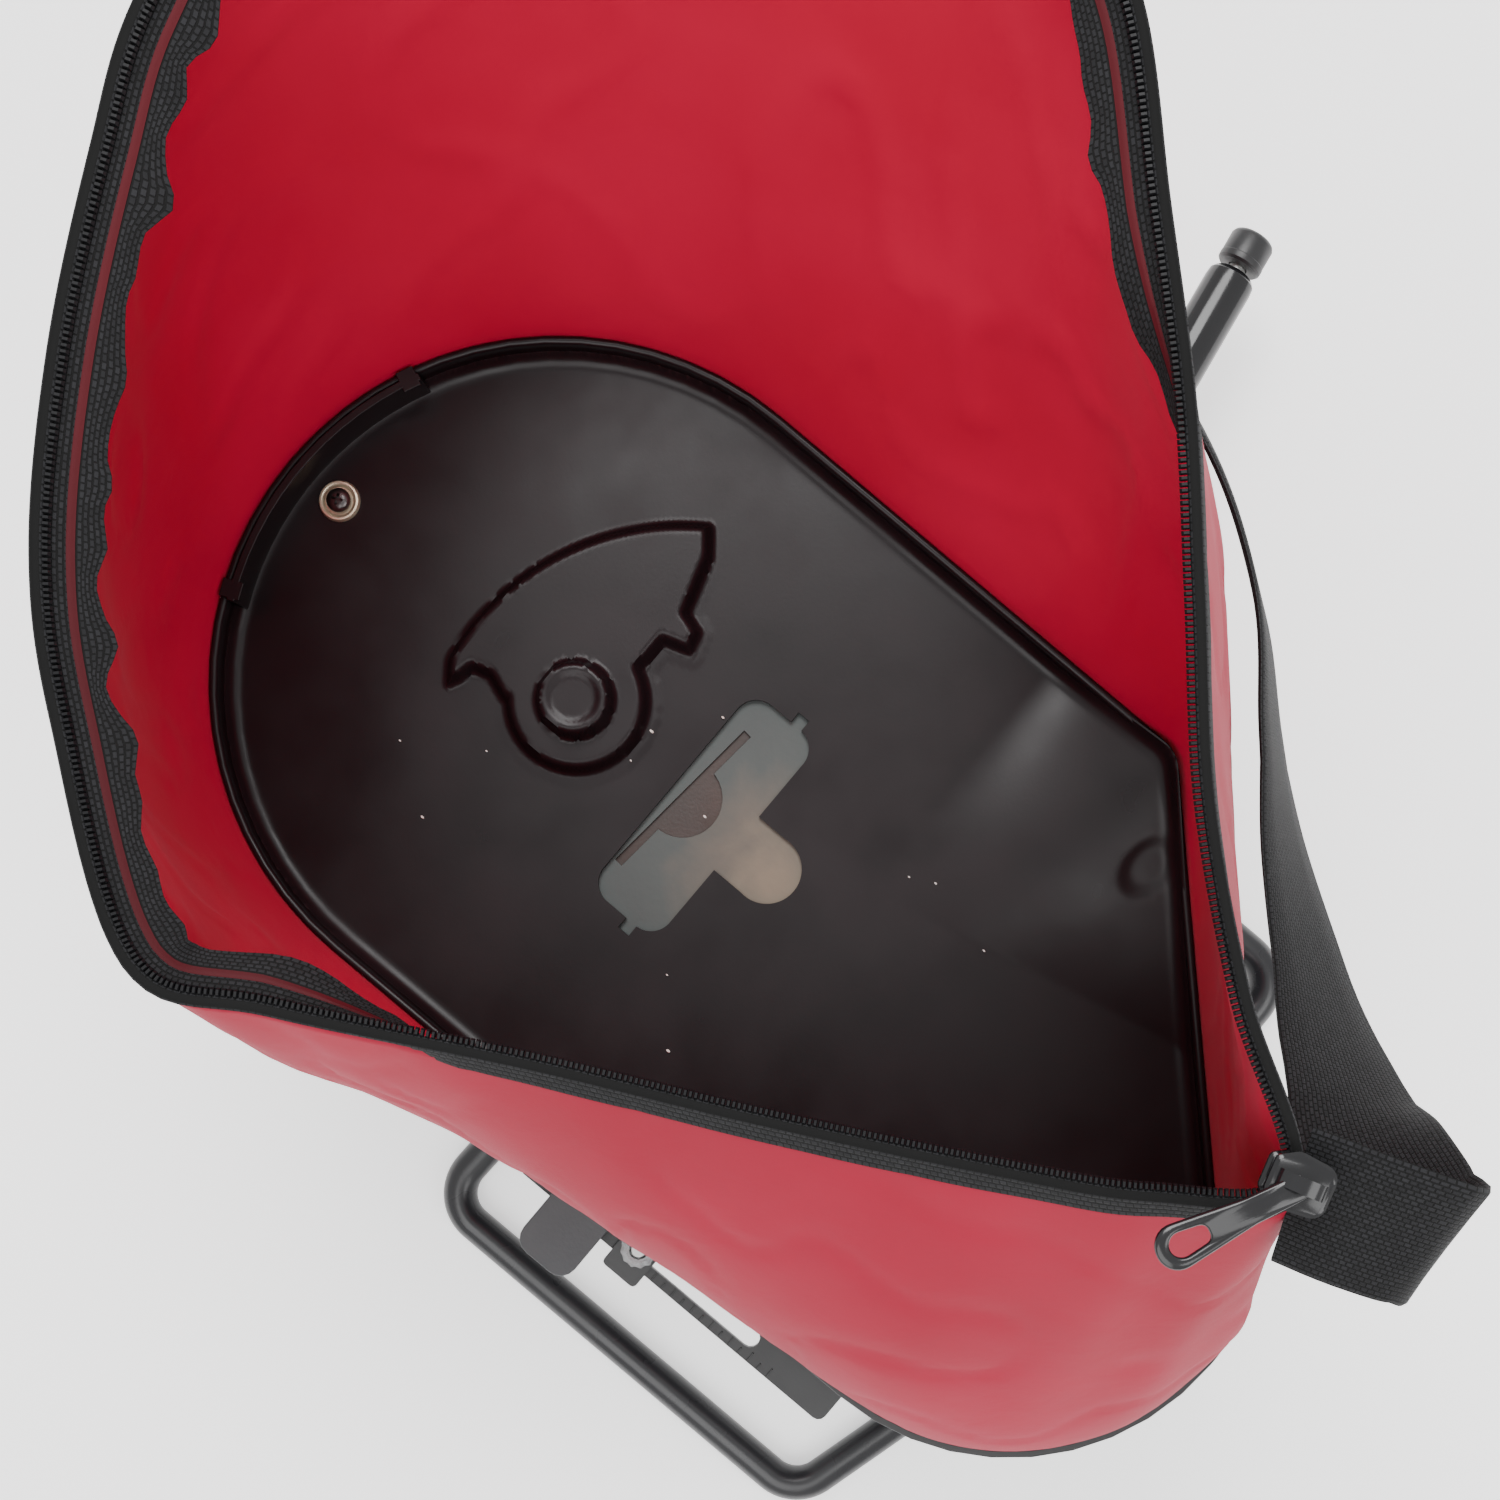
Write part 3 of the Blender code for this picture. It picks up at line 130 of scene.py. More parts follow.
def new_material(name, colour, roughness, metallic=0.0, **extra):
    """A Principled material; extra names are its other inputs."""
    made = bpy.data.materials.new(name)
    made.use_nodes = True
    shader = principled(made)
    shader.inputs["Base Color"].default_value = (*colour, 1.0)
    shader.inputs["Roughness"].default_value = roughness
    shader.inputs["Metallic"].default_value = metallic
    for key, value in extra.items():
        shader.inputs[key.replace("_", " ")].default_value = value
    return made


def principled(made):
    return made.node_tree.nodes["Principled BSDF"]


def noise_node(made, scale, detail=4.0, distortion=0.0):
    """Noise on object coordinates."""
    where = made.node_tree.nodes.new("ShaderNodeTexCoord")
    texture = made.node_tree.nodes.new("ShaderNodeTexNoise")
    texture.inputs["Scale"].default_value = scale
    texture.inputs["Detail"].default_value = detail
    texture.inputs["Distortion"].default_value = distortion
    made.node_tree.links.new(where.outputs["Object"], texture.inputs["Vector"])
    return texture


def ramp_node(made, factor, stops):
    """Colour ramp through (position, colour) stops."""
    ramp = made.node_tree.nodes.new("ShaderNodeValToRGB")
    elements = ramp.color_ramp.elements
    while len(elements) < len(stops):
        elements.new(0.5)
    for element, (position, colour) in zip(elements, stops):
        element.position = position
        element.color = (*colour, 1.0)
    made.node_tree.links.new(factor, ramp.inputs["Fac"])
    return ramp


def add_bump(made, height, strength, distance):
    """Bump the shader with a height socket; bumps chain."""
    shader = principled(made)
    bump = made.node_tree.nodes.new("ShaderNodeBump")
    bump.inputs["Strength"].default_value = strength
    bump.inputs["Distance"].default_value = distance
    made.node_tree.links.new(height, bump.inputs["Height"])
    if shader.inputs["Normal"].is_linked:
        earlier = shader.inputs["Normal"].links[0].from_socket
        made.node_tree.links.new(earlier, bump.inputs["Normal"])
    made.node_tree.links.new(bump.outputs["Normal"], shader.inputs["Normal"])


def vary_roughness(made, scale, low, high):
    """Roughness that drifts between two values in patches."""
    texture = noise_node(made, scale, 3.0)
    spread = made.node_tree.nodes.new("ShaderNodeMapRange")
    spread.inputs["From Min"].default_value = 0.3
    spread.inputs["From Max"].default_value = 0.7
    spread.inputs["To Min"].default_value = low
    spread.inputs["To Max"].default_value = high
    made.node_tree.links.new(texture.outputs["Fac"], spread.inputs["Value"])
    made.node_tree.links.new(spread.outputs["Result"], principled(made).inputs["Roughness"])


def vary_colour(made, scale, first, second, detail=4.0):
    """Base colour that drifts between two colours in patches."""
    texture = noise_node(made, scale, detail)
    ramp = ramp_node(made, texture.outputs["Fac"], [(0.35, first), (0.65, second)])
    made.node_tree.links.new(ramp.outputs["Color"], principled(made).inputs["Base Color"])


def plastic(name, first, second, rough_low, rough_high, grain=0.15, **extra):
    """Moulded plastic with slow colour drift, patchy gloss and a fine grain."""
    made = new_material(name, first, rough_low, **extra)
    vary_colour(made, 18.0, first, second)
    vary_roughness(made, 35.0, rough_low, rough_high)
    add_bump(made, noise_node(made, 900.0, 3.0).outputs["Fac"], grain, 0.0002)
    return made


def red_cloth(name, first, second, sheen, through=0.22):
    """Coated weave: crossed fine waves, soft patches, and some light let through."""
    made = new_material(name, first, 0.62, Sheen_Weight=sheen, Sheen_Roughness=0.45)
    tree = made.node_tree
    shader = principled(made)
    shader.inputs["Sheen Tint"].default_value = (1.0, 0.75, 0.78, 1.0)
    shader.inputs["Specular IOR Level"].default_value = 0.2
    vary_colour(made, 9.0, first, second, 3.0)
    where = tree.nodes.new("ShaderNodeTexCoord")
    for direction in ("X", "Y"):
        weave = tree.nodes.new("ShaderNodeTexWave")
        weave.bands_direction = direction
        weave.inputs["Scale"].default_value = 1.0
        weave.inputs["Distortion"].default_value = 1.5
        weave.inputs["Detail"].default_value = 1.0
        tree.links.new(where.outputs["UV"], weave.inputs["Vector"])
        add_bump(made, weave.outputs["Fac"], 0.12, 0.0002)
    add_bump(made, noise_node(made, 60.0, 5.0, 0.4).outputs["Fac"], 0.18, 0.002)
    glow = tree.nodes.new("ShaderNodeBsdfTranslucent")
    glow.inputs["Color"].default_value = (0.80, 0.008, 0.045, 1.0)
    mix = tree.nodes.new("ShaderNodeMixShader")
    mix.inputs["Fac"].default_value = through
    tree.links.new(shader.outputs["BSDF"], mix.inputs[1])
    tree.links.new(glow.outputs["BSDF"], mix.inputs[2])
    tree.links.new(mix.outputs["Shader"], tree.nodes["Material Output"].inputs["Surface"])
    return made


def webbing(name):
    """Black webbing: offset rows of small raised picks."""
    made = new_material(name, (0.012, 0.012, 0.014), 0.75, Sheen_Weight=0.03, Specular_IOR_Level=0.2)
    tree = made.node_tree
    where = tree.nodes.new("ShaderNodeTexCoord")
    brick = tree.nodes.new("ShaderNodeTexBrick")
    brick.offset = 0.5
    brick.inputs["Scale"].default_value = 1.0
    brick.inputs["Brick Width"].default_value = 1.9
    brick.inputs["Row Height"].default_value = 1.25
    brick.inputs["Mortar Size"].default_value = 0.28
    brick.inputs["Mortar Smooth"].default_value = 0.6
    brick.inputs["Color1"].default_value = (0.016, 0.016, 0.018, 1.0)
    brick.inputs["Color2"].default_value = (0.009, 0.009, 0.010, 1.0)
    brick.inputs["Mortar"].default_value = (0.002, 0.002, 0.002, 1.0)
    tree.links.new(where.outputs["UV"], brick.inputs["Vector"])
    tree.links.new(brick.outputs["Color"], principled(made).inputs["Base Color"])
    bump_height = tree.nodes.new("ShaderNodeInvert")
    tree.links.new(brick.outputs["Fac"], bump_height.inputs["Color"])
    add_bump(made, bump_height.outputs["Color"], 0.8, 0.0006)
    return made


PAN_PLASTIC = plastic("pan_plastic", (0.0085, 0.0050, 0.0060), (0.0120, 0.0070, 0.0085), 0.27, 0.40, 0.08,
                      Specular_IOR_Level=0.28)
SCREW_DARK = new_material("screw_dark", (0.10, 0.09, 0.09), 0.3, 0.9)
vary_colour(SCREW_DARK, 80.0, (0.07, 0.06, 0.06), (0.13, 0.12, 0.12))
BLACK_PLASTIC = plastic("black_plastic_look", (0.010, 0.010, 0.011), (0.015, 0.015, 0.016), 0.30, 0.45)
SHINY_BLACK = plastic("shiny_black", (0.006, 0.006, 0.007), (0.010, 0.010, 0.011), 0.12, 0.22, 0.05)
TUBE_BLACK = plastic("tube_black", (0.012, 0.012, 0.014), (0.020, 0.020, 0.022), 0.22, 0.34, 0.08)
LEVER_GREY = plastic("lever_grey", (0.030, 0.032, 0.036), (0.045, 0.047, 0.050), 0.42, 0.55, 0.3)
# Dark brown: painted shade on the slide where it lies deep under the port plate.
SLIDE_PAINTED_SHADE = plastic("slide_painted_shade", (0.020, 0.012, 0.010), (0.060, 0.036, 0.028), 0.45, 0.65, 0.5)
GUARD_PALE = plastic("guard_pale", (0.42, 0.42, 0.43), (0.56, 0.56, 0.57), 0.18, 0.30, 0.05)
NYLON = plastic("nylon", (0.62, 0.60, 0.55), (0.72, 0.70, 0.66), 0.4, 0.5)
CLOTH = red_cloth("red_cloth", (0.58, 0.003, 0.040), (0.66, 0.006, 0.055), 0.08)
# A darker copy of the red cloth: painted shade for the bag's outer faces.
CLOTH_PAINTED_SHADE = red_cloth("red_cloth_painted_shade", (0.30, 0.002, 0.022), (0.36, 0.003, 0.030), 0.02, through=0.06)
TAPE_CLOTH = webbing("tape_cloth")
STRAP_CLOTH = webbing("strap_cloth")
SEAM_RED = red_cloth("seam_red", (0.05, 0.002, 0.005), (0.07, 0.003, 0.007), 0.02, through=0.02)
COIL_BLACK = plastic("coil_black", (0.006, 0.006, 0.007), (0.010, 0.010, 0.011), 0.35, 0.5,
                     Specular_IOR_Level=0.2)
BRASS = new_material("brass_look", (0.88, 0.76, 0.56), 0.38, 0.8)
add_bump(BRASS, noise_node(BRASS, 700.0).outputs["Fac"], 0.15, 0.0002)
ZINC = new_material("zinc_look", (0.46, 0.46, 0.45), 0.34, 0.95)
vary_colour(ZINC, 50.0, (0.40, 0.40, 0.39), (0.55, 0.55, 0.53))
add_bump(ZINC, noise_node(ZINC, 500.0).outputs["Fac"], 0.12, 0.0002)
CLEAR = new_material("clear_look", (0.93, 0.95, 0.96), 0.06, Transmission_Weight=0.85, IOR=1.49)
vary_colour(CLEAR, 120.0, (0.88, 0.91, 0.93), (0.97, 0.98, 0.98))


def port_material():
    """Zinc plate with painted light and shade: lit warm beige at the keyhole, fading to shaded grey-green
    away from it, with a blotchy film.
    """
    made = new_material("port_look", (0.1, 0.12, 0.12), 0.5, 0.1)
    tree = made.node_tree
    where = tree.nodes.new("ShaderNodeTexCoord")
    key = place(*KEYHOLE_LIGHT_POOL, 0)
    mapping = tree.nodes.new("ShaderNodeMapping")
    mapping.inputs["Location"].default_value = (-key.x, -key.y, 0)
    spread = tree.nodes.new("ShaderNodeVectorMath")
    spread.operation = "LENGTH"
    flat = tree.nodes.new("ShaderNodeVectorMath")
    flat.operation = "MULTIPLY"
    flat.inputs[1].default_value = (1, 1, 0)
    tree.links.new(where.outputs["Object"], mapping.inputs["Vector"])
    tree.links.new(mapping.outputs["Vector"], flat.inputs[0])
    tree.links.new(flat.outputs["Vector"], spread.inputs[0])
    blotch = noise_node(made, 55.0, 6.0, 0.6)
    total = tree.nodes.new("ShaderNodeMath")
    total.operation = "MULTIPLY_ADD"
    total.inputs[1].default_value = 0.03
    tree.links.new(blotch.outputs["Fac"], total.inputs[0])
    tree.links.new(spread.outputs["Value"], total.inputs[2])
    scaled = tree.nodes.new("ShaderNodeMath")
    scaled.operation = "MULTIPLY"
    scaled.inputs[1].default_value = 12.0
    tree.links.new(total.outputs["Value"], scaled.inputs[0])
    # Painted light and shade: lit beige near the keyhole, shaded grey-green further away.
    stops = [(0.2, (0.21, 0.17, 0.12)), (0.42, (0.12, 0.105, 0.085)), (0.62, (0.062, 0.074, 0.070)),
             (1.0, (0.046, 0.056, 0.055))]
    ramp = ramp_node(made, scaled.outputs["Value"], stops)
    tree.links.new(ramp.outputs["Color"], principled(made).inputs["Base Color"])
    add_bump(made, noise_node(made, 420.0, 5.0).outputs["Fac"], 0.2, 0.0003)
    return made


PORT = port_material()


# ---------------------------------------------------------------- geometry helpers

def make(name, points, faces, look, body="spreader", stands_for=(), uvs=None, crease=40):
    """A mesh piece from millimetre points that rides on a body."""
    mesh = bpy.data.meshes.new(name)
    mesh.from_pydata([tuple(place(*point)) for point in points], [], faces)
    mesh.update()
    finish_mesh(mesh, crease)
    if uvs:
        layer = mesh.uv_layers.new(name="UVMap")
        for loop in mesh.loops:
            layer.data[loop.index].uv = uvs[loop.vertex_index]
    return adopt(name, mesh, look, body, stands_for)


def finish_mesh(mesh, crease):
    work = bmesh.new()
    work.from_mesh(mesh)
    bmesh.ops.recalc_face_normals(work, faces=work.faces)
    work.to_mesh(mesh)
    work.free()
    mesh.shade_smooth()
    mesh.set_sharp_from_angle(angle=math.radians(crease))


def adopt(name, mesh, look, body="spreader", stands_for=()):
    mesh.materials.clear()
    mesh.materials.append(look)
    obj = bpy.data.objects.new(name, mesh)
    bpy.context.scene.collection.objects.link(obj)
    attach(obj, body)
    if stands_for:
        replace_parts(obj, *stands_for)
    return obj


def grid_faces(rows, columns, wrap_rows=False, wrap_columns=True):
    faces = []
    for row in range(rows if wrap_rows else rows - 1):
        for column in range(columns if wrap_columns else columns - 1):
            after, above = (column + 1) % columns, (row + 1) % rows
            faces.append((row * columns + column, row * columns + after, above * columns + after,
                          above * columns + column))
    return faces


def lofted(name, rings, look, closed=False, **extra):
    """Skin equal rings; the two ends are capped unless the loft is closed."""
    count, size = len(rings), len(rings[0])
    points = [point for ring in rings for point in ring]
    faces = grid_faces(count, size, wrap_rows=closed)
    if not closed:
        faces.append(tuple(range(size)))
        faces.append(tuple(range((count - 1) * size, count * size)))
    return make(name, points, faces, look, **extra)


def rounded(corners, degrees=6.0):
    """Round each (x, y, radius) corner of a polygon with an arc."""
    outline = []
    count = len(corners)
    for index, (x, y, radius) in enumerate(corners):
        here = Vector((x, y))
        back = (Vector(corners[index - 1][:2]) - here).normalized()
        ahead = (Vector(corners[(index + 1) % count][:2]) - here).normalized()
        half = back.angle(ahead) / 2
        centre = here + (back + ahead).normalized() * (radius / math.sin(half))
        start = here + back * (radius / math.tan(half)) - centre
        turn = math.pi - 2 * half
        if back.x * ahead.y - back.y * ahead.x > 0:
            turn = -turn
        steps = max(2, round(math.degrees(abs(turn)) / degrees))
        for step in range(steps + 1):
            spun = Matrix.Rotation(turn * step / steps, 2) @ start
            outline.append(tuple(centre + spun))
    return [point for index, point in enumerate(outline) if math.dist(point, outline[index - 1]) > 0.05]


def normals(path, closed=True):
    """Unit vectors across a path at each of its points."""
    result = []
    last = len(path) - 1
    for index in range(len(path)):
        before = path[index - 1] if closed or index > 0 else path[0]
        after = path[(index + 1) % len(path)] if closed or index < last else path[last]
        along_path = Vector((after[0] - before[0], after[1] - before[1])).normalized()
        result.append(Vector((along_path.y, -along_path.x)))
    return result


def curve(points, closed, fine=10):
    """Fine points of a Catmull-Rom curve through the given ones."""
    size = len(points)
    result = []
    for index in range(size if closed else size - 1):
        picks = [index + shift for shift in (-1, 0, 1, 2)]
        if closed:
            picks = [pick % size for pick in picks]
        a, b, c, d = (Vector(points[min(max(pick, 0), size - 1)]) for pick in picks)
        for step in range(fine):
            t = step / fine
            result.append(0.5 * (2 * b + (c - a) * t + (2 * a - 5 * b + 4 * c - d) * t * t
                                 + (3 * b - a - 3 * c + d) * t ** 3))
    result.append(result[0].copy() if closed else Vector(points[-1]))
    return result


def along(points, shares):
    """Points of a polyline at the given shares of its length."""
    lengths = [0.0]
    for first, second in zip(points, points[1:]):
        lengths.append(lengths[-1] + (second - first).length)
    result = []
    spot = 0
    for share in shares:
        target = lengths[-1] * share
        while spot < len(points) - 2 and lengths[spot + 1] < target:
            spot += 1
        span = max(lengths[spot + 1] - lengths[spot], 0.001)
        result.append(points[spot].lerp(points[spot + 1], min(1.0, (target - lengths[spot]) / span)))
    return result


def between(values, share):
    """A value at that share of a list whose entries are evenly spaced."""
    spot = share * (len(values) - 1)
    index = min(int(spot), len(values) - 2)
    return Vector(values[index]).lerp(Vector(values[index + 1]), spot - index)


def turned(name, profile, look, steps=48, centre=(0, 0, 0), turn=None, **extra):
    """Turn (radius, z) points about Z, then turn and place them; a closed profile keeps off the axis."""
    rings = []
    for radius, z in profile:
        ring = []
        for step in range(steps):
            angle = 2 * math.pi * step / steps
            point = Vector((radius * math.cos(angle), radius * math.sin(angle), z))
            ring.append(Vector(centre) + (turn @ point if turn else point))
        rings.append(ring)
    return lofted(name, rings, look, **extra)


def cut(obj, operation, cutter):
    """Add a Boolean with another piece; it works once the mesh is baked."""
    modifier = obj.modifiers.new(cutter.name, "BOOLEAN")
    modifier.operation = operation
    modifier.solver = "EXACT"
    modifier.object = cutter


def bevelled(obj, width, segments):
    """Round the edges that turn by more than 35 degrees."""
    modifier = obj.modifiers.new("edge", "BEVEL")
    modifier.width = width * MM
    modifier.segments = segments
    modifier.limit_method = "ANGLE"
    modifier.angle_limit = math.radians(35)
    modifier.harden_normals = True
    return obj


def softened(node, look, width, segments=3):
    """A copy of a CAD node with its edges rounded over."""
    source = frame["nodes"][node]
    work = bmesh.new()
    work.from_mesh(source.data)
    bmesh.ops.remove_doubles(work, verts=work.verts, dist=0.00002)
    bmesh.ops.dissolve_limit(work, angle_limit=math.radians(1.0), verts=work.verts, edges=work.edges)
    mesh = bpy.data.meshes.new(node + "_look")
    work.to_mesh(mesh)
    work.free()
    mesh.shade_smooth()
    mesh.set_sharp_from_angle(angle=math.radians(35))
    obj = adopt(node + "_look", mesh, look, source["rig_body"], (node,))
    return bevelled(obj, width, segments)


def smooth_step(value):
    value = np.clip(value, 0.0, 1.0)
    return value * value * (3 - 2 * value)


# ---------------------------------------------------------------- pan

def pan_outline(degrees=6.0):
    rear = PAN_LOW.y
    cut_tip = PAN_HALF - (PAN_CUT_Y - rear)
    front = PAN_HIGH.y
    return rounded([(cut_tip, rear, 25), (PAN_HALF, PAN_CUT_Y, 14), (PAN_HALF, front, PAN_HALF),
                    (-PAN_HALF, front, PAN_HALF), (-PAN_HALF, rear, 80)], degrees)


def plateau_outline():
    """Fan-shaped raised patch: an arc in front, two feet and a round end about the shaft."""
    centre = Vector((-1, -45.6))
    fan_radius = 87.9
    fan = [centre + Vector((fan_radius * math.cos(math.radians(a)), fan_radius * math.sin(math.radians(a))))
           for a in range(34, 103, 3)]
    left = [(-23, 36), (-19, 34), (-14, 33), (-12, 27), (-15, 19)]
    end = [(23 * math.cos(math.radians(a)), 23 * math.sin(math.radians(a))) for a in range(128, 339, 10)]
    right = [(26, -9), (33, -9), (36, -18), (43, -16), (45, -9), (64, -3)]
    return [tuple(point) for point in fan] + left + end + right


def signed_distance(xs, ys, polygon):
    """Distance to a polygon's edge, positive inside, for arrays of places."""
    nearest = np.full(xs.shape, 1e9)
    inside = np.zeros(xs.shape, bool)
    for (ax, ay), (bx, by) in zip(polygon, polygon[1:] + polygon[:1]):
        ex, ey = bx - ax, by - ay
        share = np.clip(((xs - ax) * ex + (ys - ay) * ey) / max(ex * ex + ey * ey, 1e-9), 0, 1)
        nearest = np.minimum(nearest, np.hypot(xs - ax - share * ex, ys - ay - share * ey))
        crosses = (ay > ys) != (by > ys)
        inside ^= crosses & (xs < (bx - ax) * (ys - ay) / (by - ay if by != ay else 1e-9) + ax)
    return np.where(inside, nearest, -nearest)


CREASE_START = Vector((21, -141))
CREASE_END = Vector((40.5, -230))


def floor_height(xs, ys, wall):
    """Height of the moulded floor over its flat level; wall is the distance to the rim wall."""
    edge = signed_distance(xs, ys, plateau_outline())
    height = PLATEAU_HEIGHT * smooth_step((edge + 1.2) / 3.4)
    radius = np.hypot(xs, ys)
    boss = PLATEAU_HEIGHT + 7.0 * smooth_step((13.2 - radius) / 2.4) - 20.0 * (radius > 15)
    height = np.maximum(height, boss)
    height -= 0.8 * smooth_step((8.6 - radius) / 1.2)
    way = (CREASE_END - CREASE_START).normalized()
    beyond = -(way.x * (ys - CREASE_START.y) - way.y * (xs - CREASE_START.x))
    start = smooth_step((CREASE_START.y + 30 - ys) / 60)
    slope = np.maximum(0.0, np.abs(beyond)) * (beyond < 0)
    height += 0.2 * (np.sqrt(slope ** 2 + 1) - 1) * start
    height -= 0.7 * smooth_step((9.0 - np.hypot((xs - 78) * 0.7, ys + 177)) / 5.0)
    height -= 1.2 * np.exp(-((xs + 2) ** 2 + (ys + 80) ** 2) / 2400.0) * (edge < -4)
    fillet = 5.0
    near = np.clip(fillet - wall, 0, fillet)
    height += fillet - np.sqrt(np.maximum(fillet ** 2 - near ** 2, 0.0))
    return height


def build_pan():
    """The moulded floor as a fine height field, cut out at the port, with the rim lofted round it."""
    step = 1.15
    wall_inset = 2.3
    xs = np.arange(PAN_LOW.x - 2, PAN_HIGH.x + 2 + step, step)
    ys = np.arange(PAN_LOW.y - 2, PAN_HIGH.y + 2 + step, step)
    grid_x, grid_y = np.meshgrid(xs, ys)
    outline = pan_outline()
    wall = signed_distance(grid_x, grid_y, outline) - wall_inset
    tops = FLOOR_TOP + floor_height(grid_x, grid_y, wall)
    rows, columns = tops.shape
    bottom = FLOOR_TOP - 2.4
    points = list(zip(grid_x.ravel(), grid_y.ravel(), tops.ravel()))
    faces = grid_faces(rows, columns, wrap_columns=False)
    edge = ([(0, c) for c in range(columns)] + [(r, columns - 1) for r in range(1, rows)]
            + [(rows - 1, c) for c in range(columns - 2, -1, -1)] + [(r, 0) for r in range(rows - 2, 0, -1)])
    ring = [r * columns + c for r, c in edge]
    start = len(points)
    points += [(points[i][0], points[i][1], bottom) for i in ring]
    count = len(ring)
    faces += [(ring[i], ring[(i + 1) % count], start + (i + 1) % count, start + i) for i in range(count)]
    faces.append(tuple(range(start, start + count)))
    floor = make("pan_floor", points, faces, PAN_PLASTIC, crease=60)

    def tool(name, outline_points, low, high):
        return lofted(name, [[(x, y, z) for x, y in outline_points] for z in (low, high)], PAN_PLASTIC)

    inner = [(x - n.x * 1.2, y - n.y * 1.2) for (x, y), n in zip(outline, normals(outline))]
    cuts = [("INTERSECT", tool("pan_trim", inner, bottom - 5, FLOOR_TOP + 60))]
    left, right, front, rear = -44, 40, -41.3, -69.5
    mouth = rounded([(left, rear, 8), (right, rear, 8), (right, front, 8), (left, front, 8)])
    cuts.append(("DIFFERENCE", tool("mouth_trim", mouth, bottom - 6, FLOOR_TOP + 30)))
    angles = [step * math.pi / 24 for step in range(48)]
    circle = [(-2 + 11.5 * math.cos(angle), -82.5 + 11.5 * math.sin(angle)) for angle in angles]
    cuts.append(("DIFFERENCE", tool("key_trim", circle, bottom - 7, FLOOR_TOP + 31)))
    cuts.append(("DIFFERENCE", tool("neck_trim", [(-13.4, -82), (9.4, -82), (9.4, -68), (-13.4, -68)],
                                    bottom - 8, FLOOR_TOP + 32)))
    cuts.append(("DIFFERENCE", tool("notch_trim", [(-48, -62), (44, -62), (44, -57.5), (-48, -57.5)],
                                    bottom - 9, FLOOR_TOP + 33)))
    for operation, cutter in cuts:
        cut(floor, operation, cutter)
    bake(floor)
    for _, cutter in cuts:
        bpy.data.objects.remove(cutter)
    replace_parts(floor, "hopper_pan")

    section = [(0.0, FLOOR_TOP - 2.4), (0.0, RIM_TOP - 0.9), (-0.4, RIM_TOP - 0.2), (-1.1, RIM_TOP),
               (-1.9, RIM_TOP - 0.1), (-2.5, RIM_TOP - 0.6), (-2.7, RIM_TOP - 1.4), (-2.3, RIM_TOP - 6),
               (-2.2, FLOOR_TOP + 0.5), (-1.6, FLOOR_TOP - 2.4)]
    ways = normals(outline)
    rings = [[(x + n.x * out, y + n.y * out, z) for out, z in section] for (x, y), n in zip(outline, ways)]
    lofted("pan_rim", rings, PAN_PLASTIC, closed=True, crease=50)


def bake(obj):
    """Put the modified mesh in place of the plain one."""
    depsgraph = bpy.context.evaluated_depsgraph_get()
    mesh = bpy.data.meshes.new_from_object(obj.evaluated_get(depsgraph))
    obj.modifiers.clear()
    obj.data = mesh
    mesh.shade_smooth()
    mesh.set_sharp_from_angle(angle=math.radians(50))


def build_specks():
    """Grains and dust left on the floor."""
    random.seed(12)
    grain = new_material("grain_look", (0.85, 0.80, 0.74), 0.6)
    vary_colour(grain, 300.0, (0.80, 0.70, 0.62), (0.92, 0.90, 0.86))
    spots = [(random.uniform(-70, 70), random.uniform(-190, 60)) for _ in range(9)]
    points, faces = [], []
    for x, y in spots + [(-2, -56), (26, -120), (30, -128)]:
        size = random.uniform(0.25, 0.5)
        spin = random.uniform(0, 3)
        start = len(points)
        for z, wide in ((0.02, 1.0), (0.35, 0.7)):
            for corner in range(6):
                angle = spin + corner * math.pi / 3
                points.append((x + size * wide * math.cos(angle), y + 1.8 * size * wide * math.sin(angle),
                               FLOOR_TOP + 0.1 + z + (PLATEAU_HEIGHT if y > 15 and abs(x) < 40 else 0.0)))
        faces += [(start + i, start + (i + 1) % 6, start + 6 + (i + 1) % 6, start + 6 + i) for i in range(6)]
        faces += [tuple(range(start, start + 6)), tuple(range(start + 6, start + 12))]
    make("floor_grains", points, faces, grain)


# ---------------------------------------------------------------- bag

SHARES = [step / BAG_AROUND for step in range(BAG_AROUND)]


def bag_base():
    """Rim and mouth places in step by length, with the rim's outward ways."""
    outline = [Vector(point) for point in pan_outline(4.0)]
    rim = along(outline + [outline[0]], SHARES)
    mouth = along(curve(MOUTH, True), SHARES)
    ways = normals([(p.x, p.y) for p in rim])
    return rim, mouth, ways


RIM, MOUTH_LINE, RIM_WAYS = bag_base()
MOUTH_WAYS = normals([(p.x, p.y) for p in MOUTH_LINE])
HEM_BOTTOM = 105.0
COIL_TEETH = 760


def wrinkle(index, t):
    """How far the cloth stands out of its smooth shape."""
    turn = 2 * math.pi * index / BAG_AROUND
    around = Vector((math.cos(turn), math.sin(turn), 0))
    fade = math.sin(math.pi * min(1.0, max(0.0, t))) ** 0.6
    broad = noise.noise(around * 3.1 + Vector((0, 0, t * 1.6 + 7.0)))
    folds = noise.noise(around * 7.0 + Vector((3.0, 1.0, t * 2.4)))
    creases = 1.0 - abs(noise.noise(around * 5.0 + Vector((9.0, 4.0, t * 4.2)))) * 2.2
    crease = max(0.0, creases) ** 6
    tip = min(index, BAG_AROUND - index) / BAG_AROUND
    gather = math.exp(-(tip / 0.07) ** 2)
    pleat = math.sin(tip * 190.0 + t * 7.0) * gather * t
    return fade * (3.0 * broad + 1.5 * folds - 1.5 * crease + 2.2 * pleat)


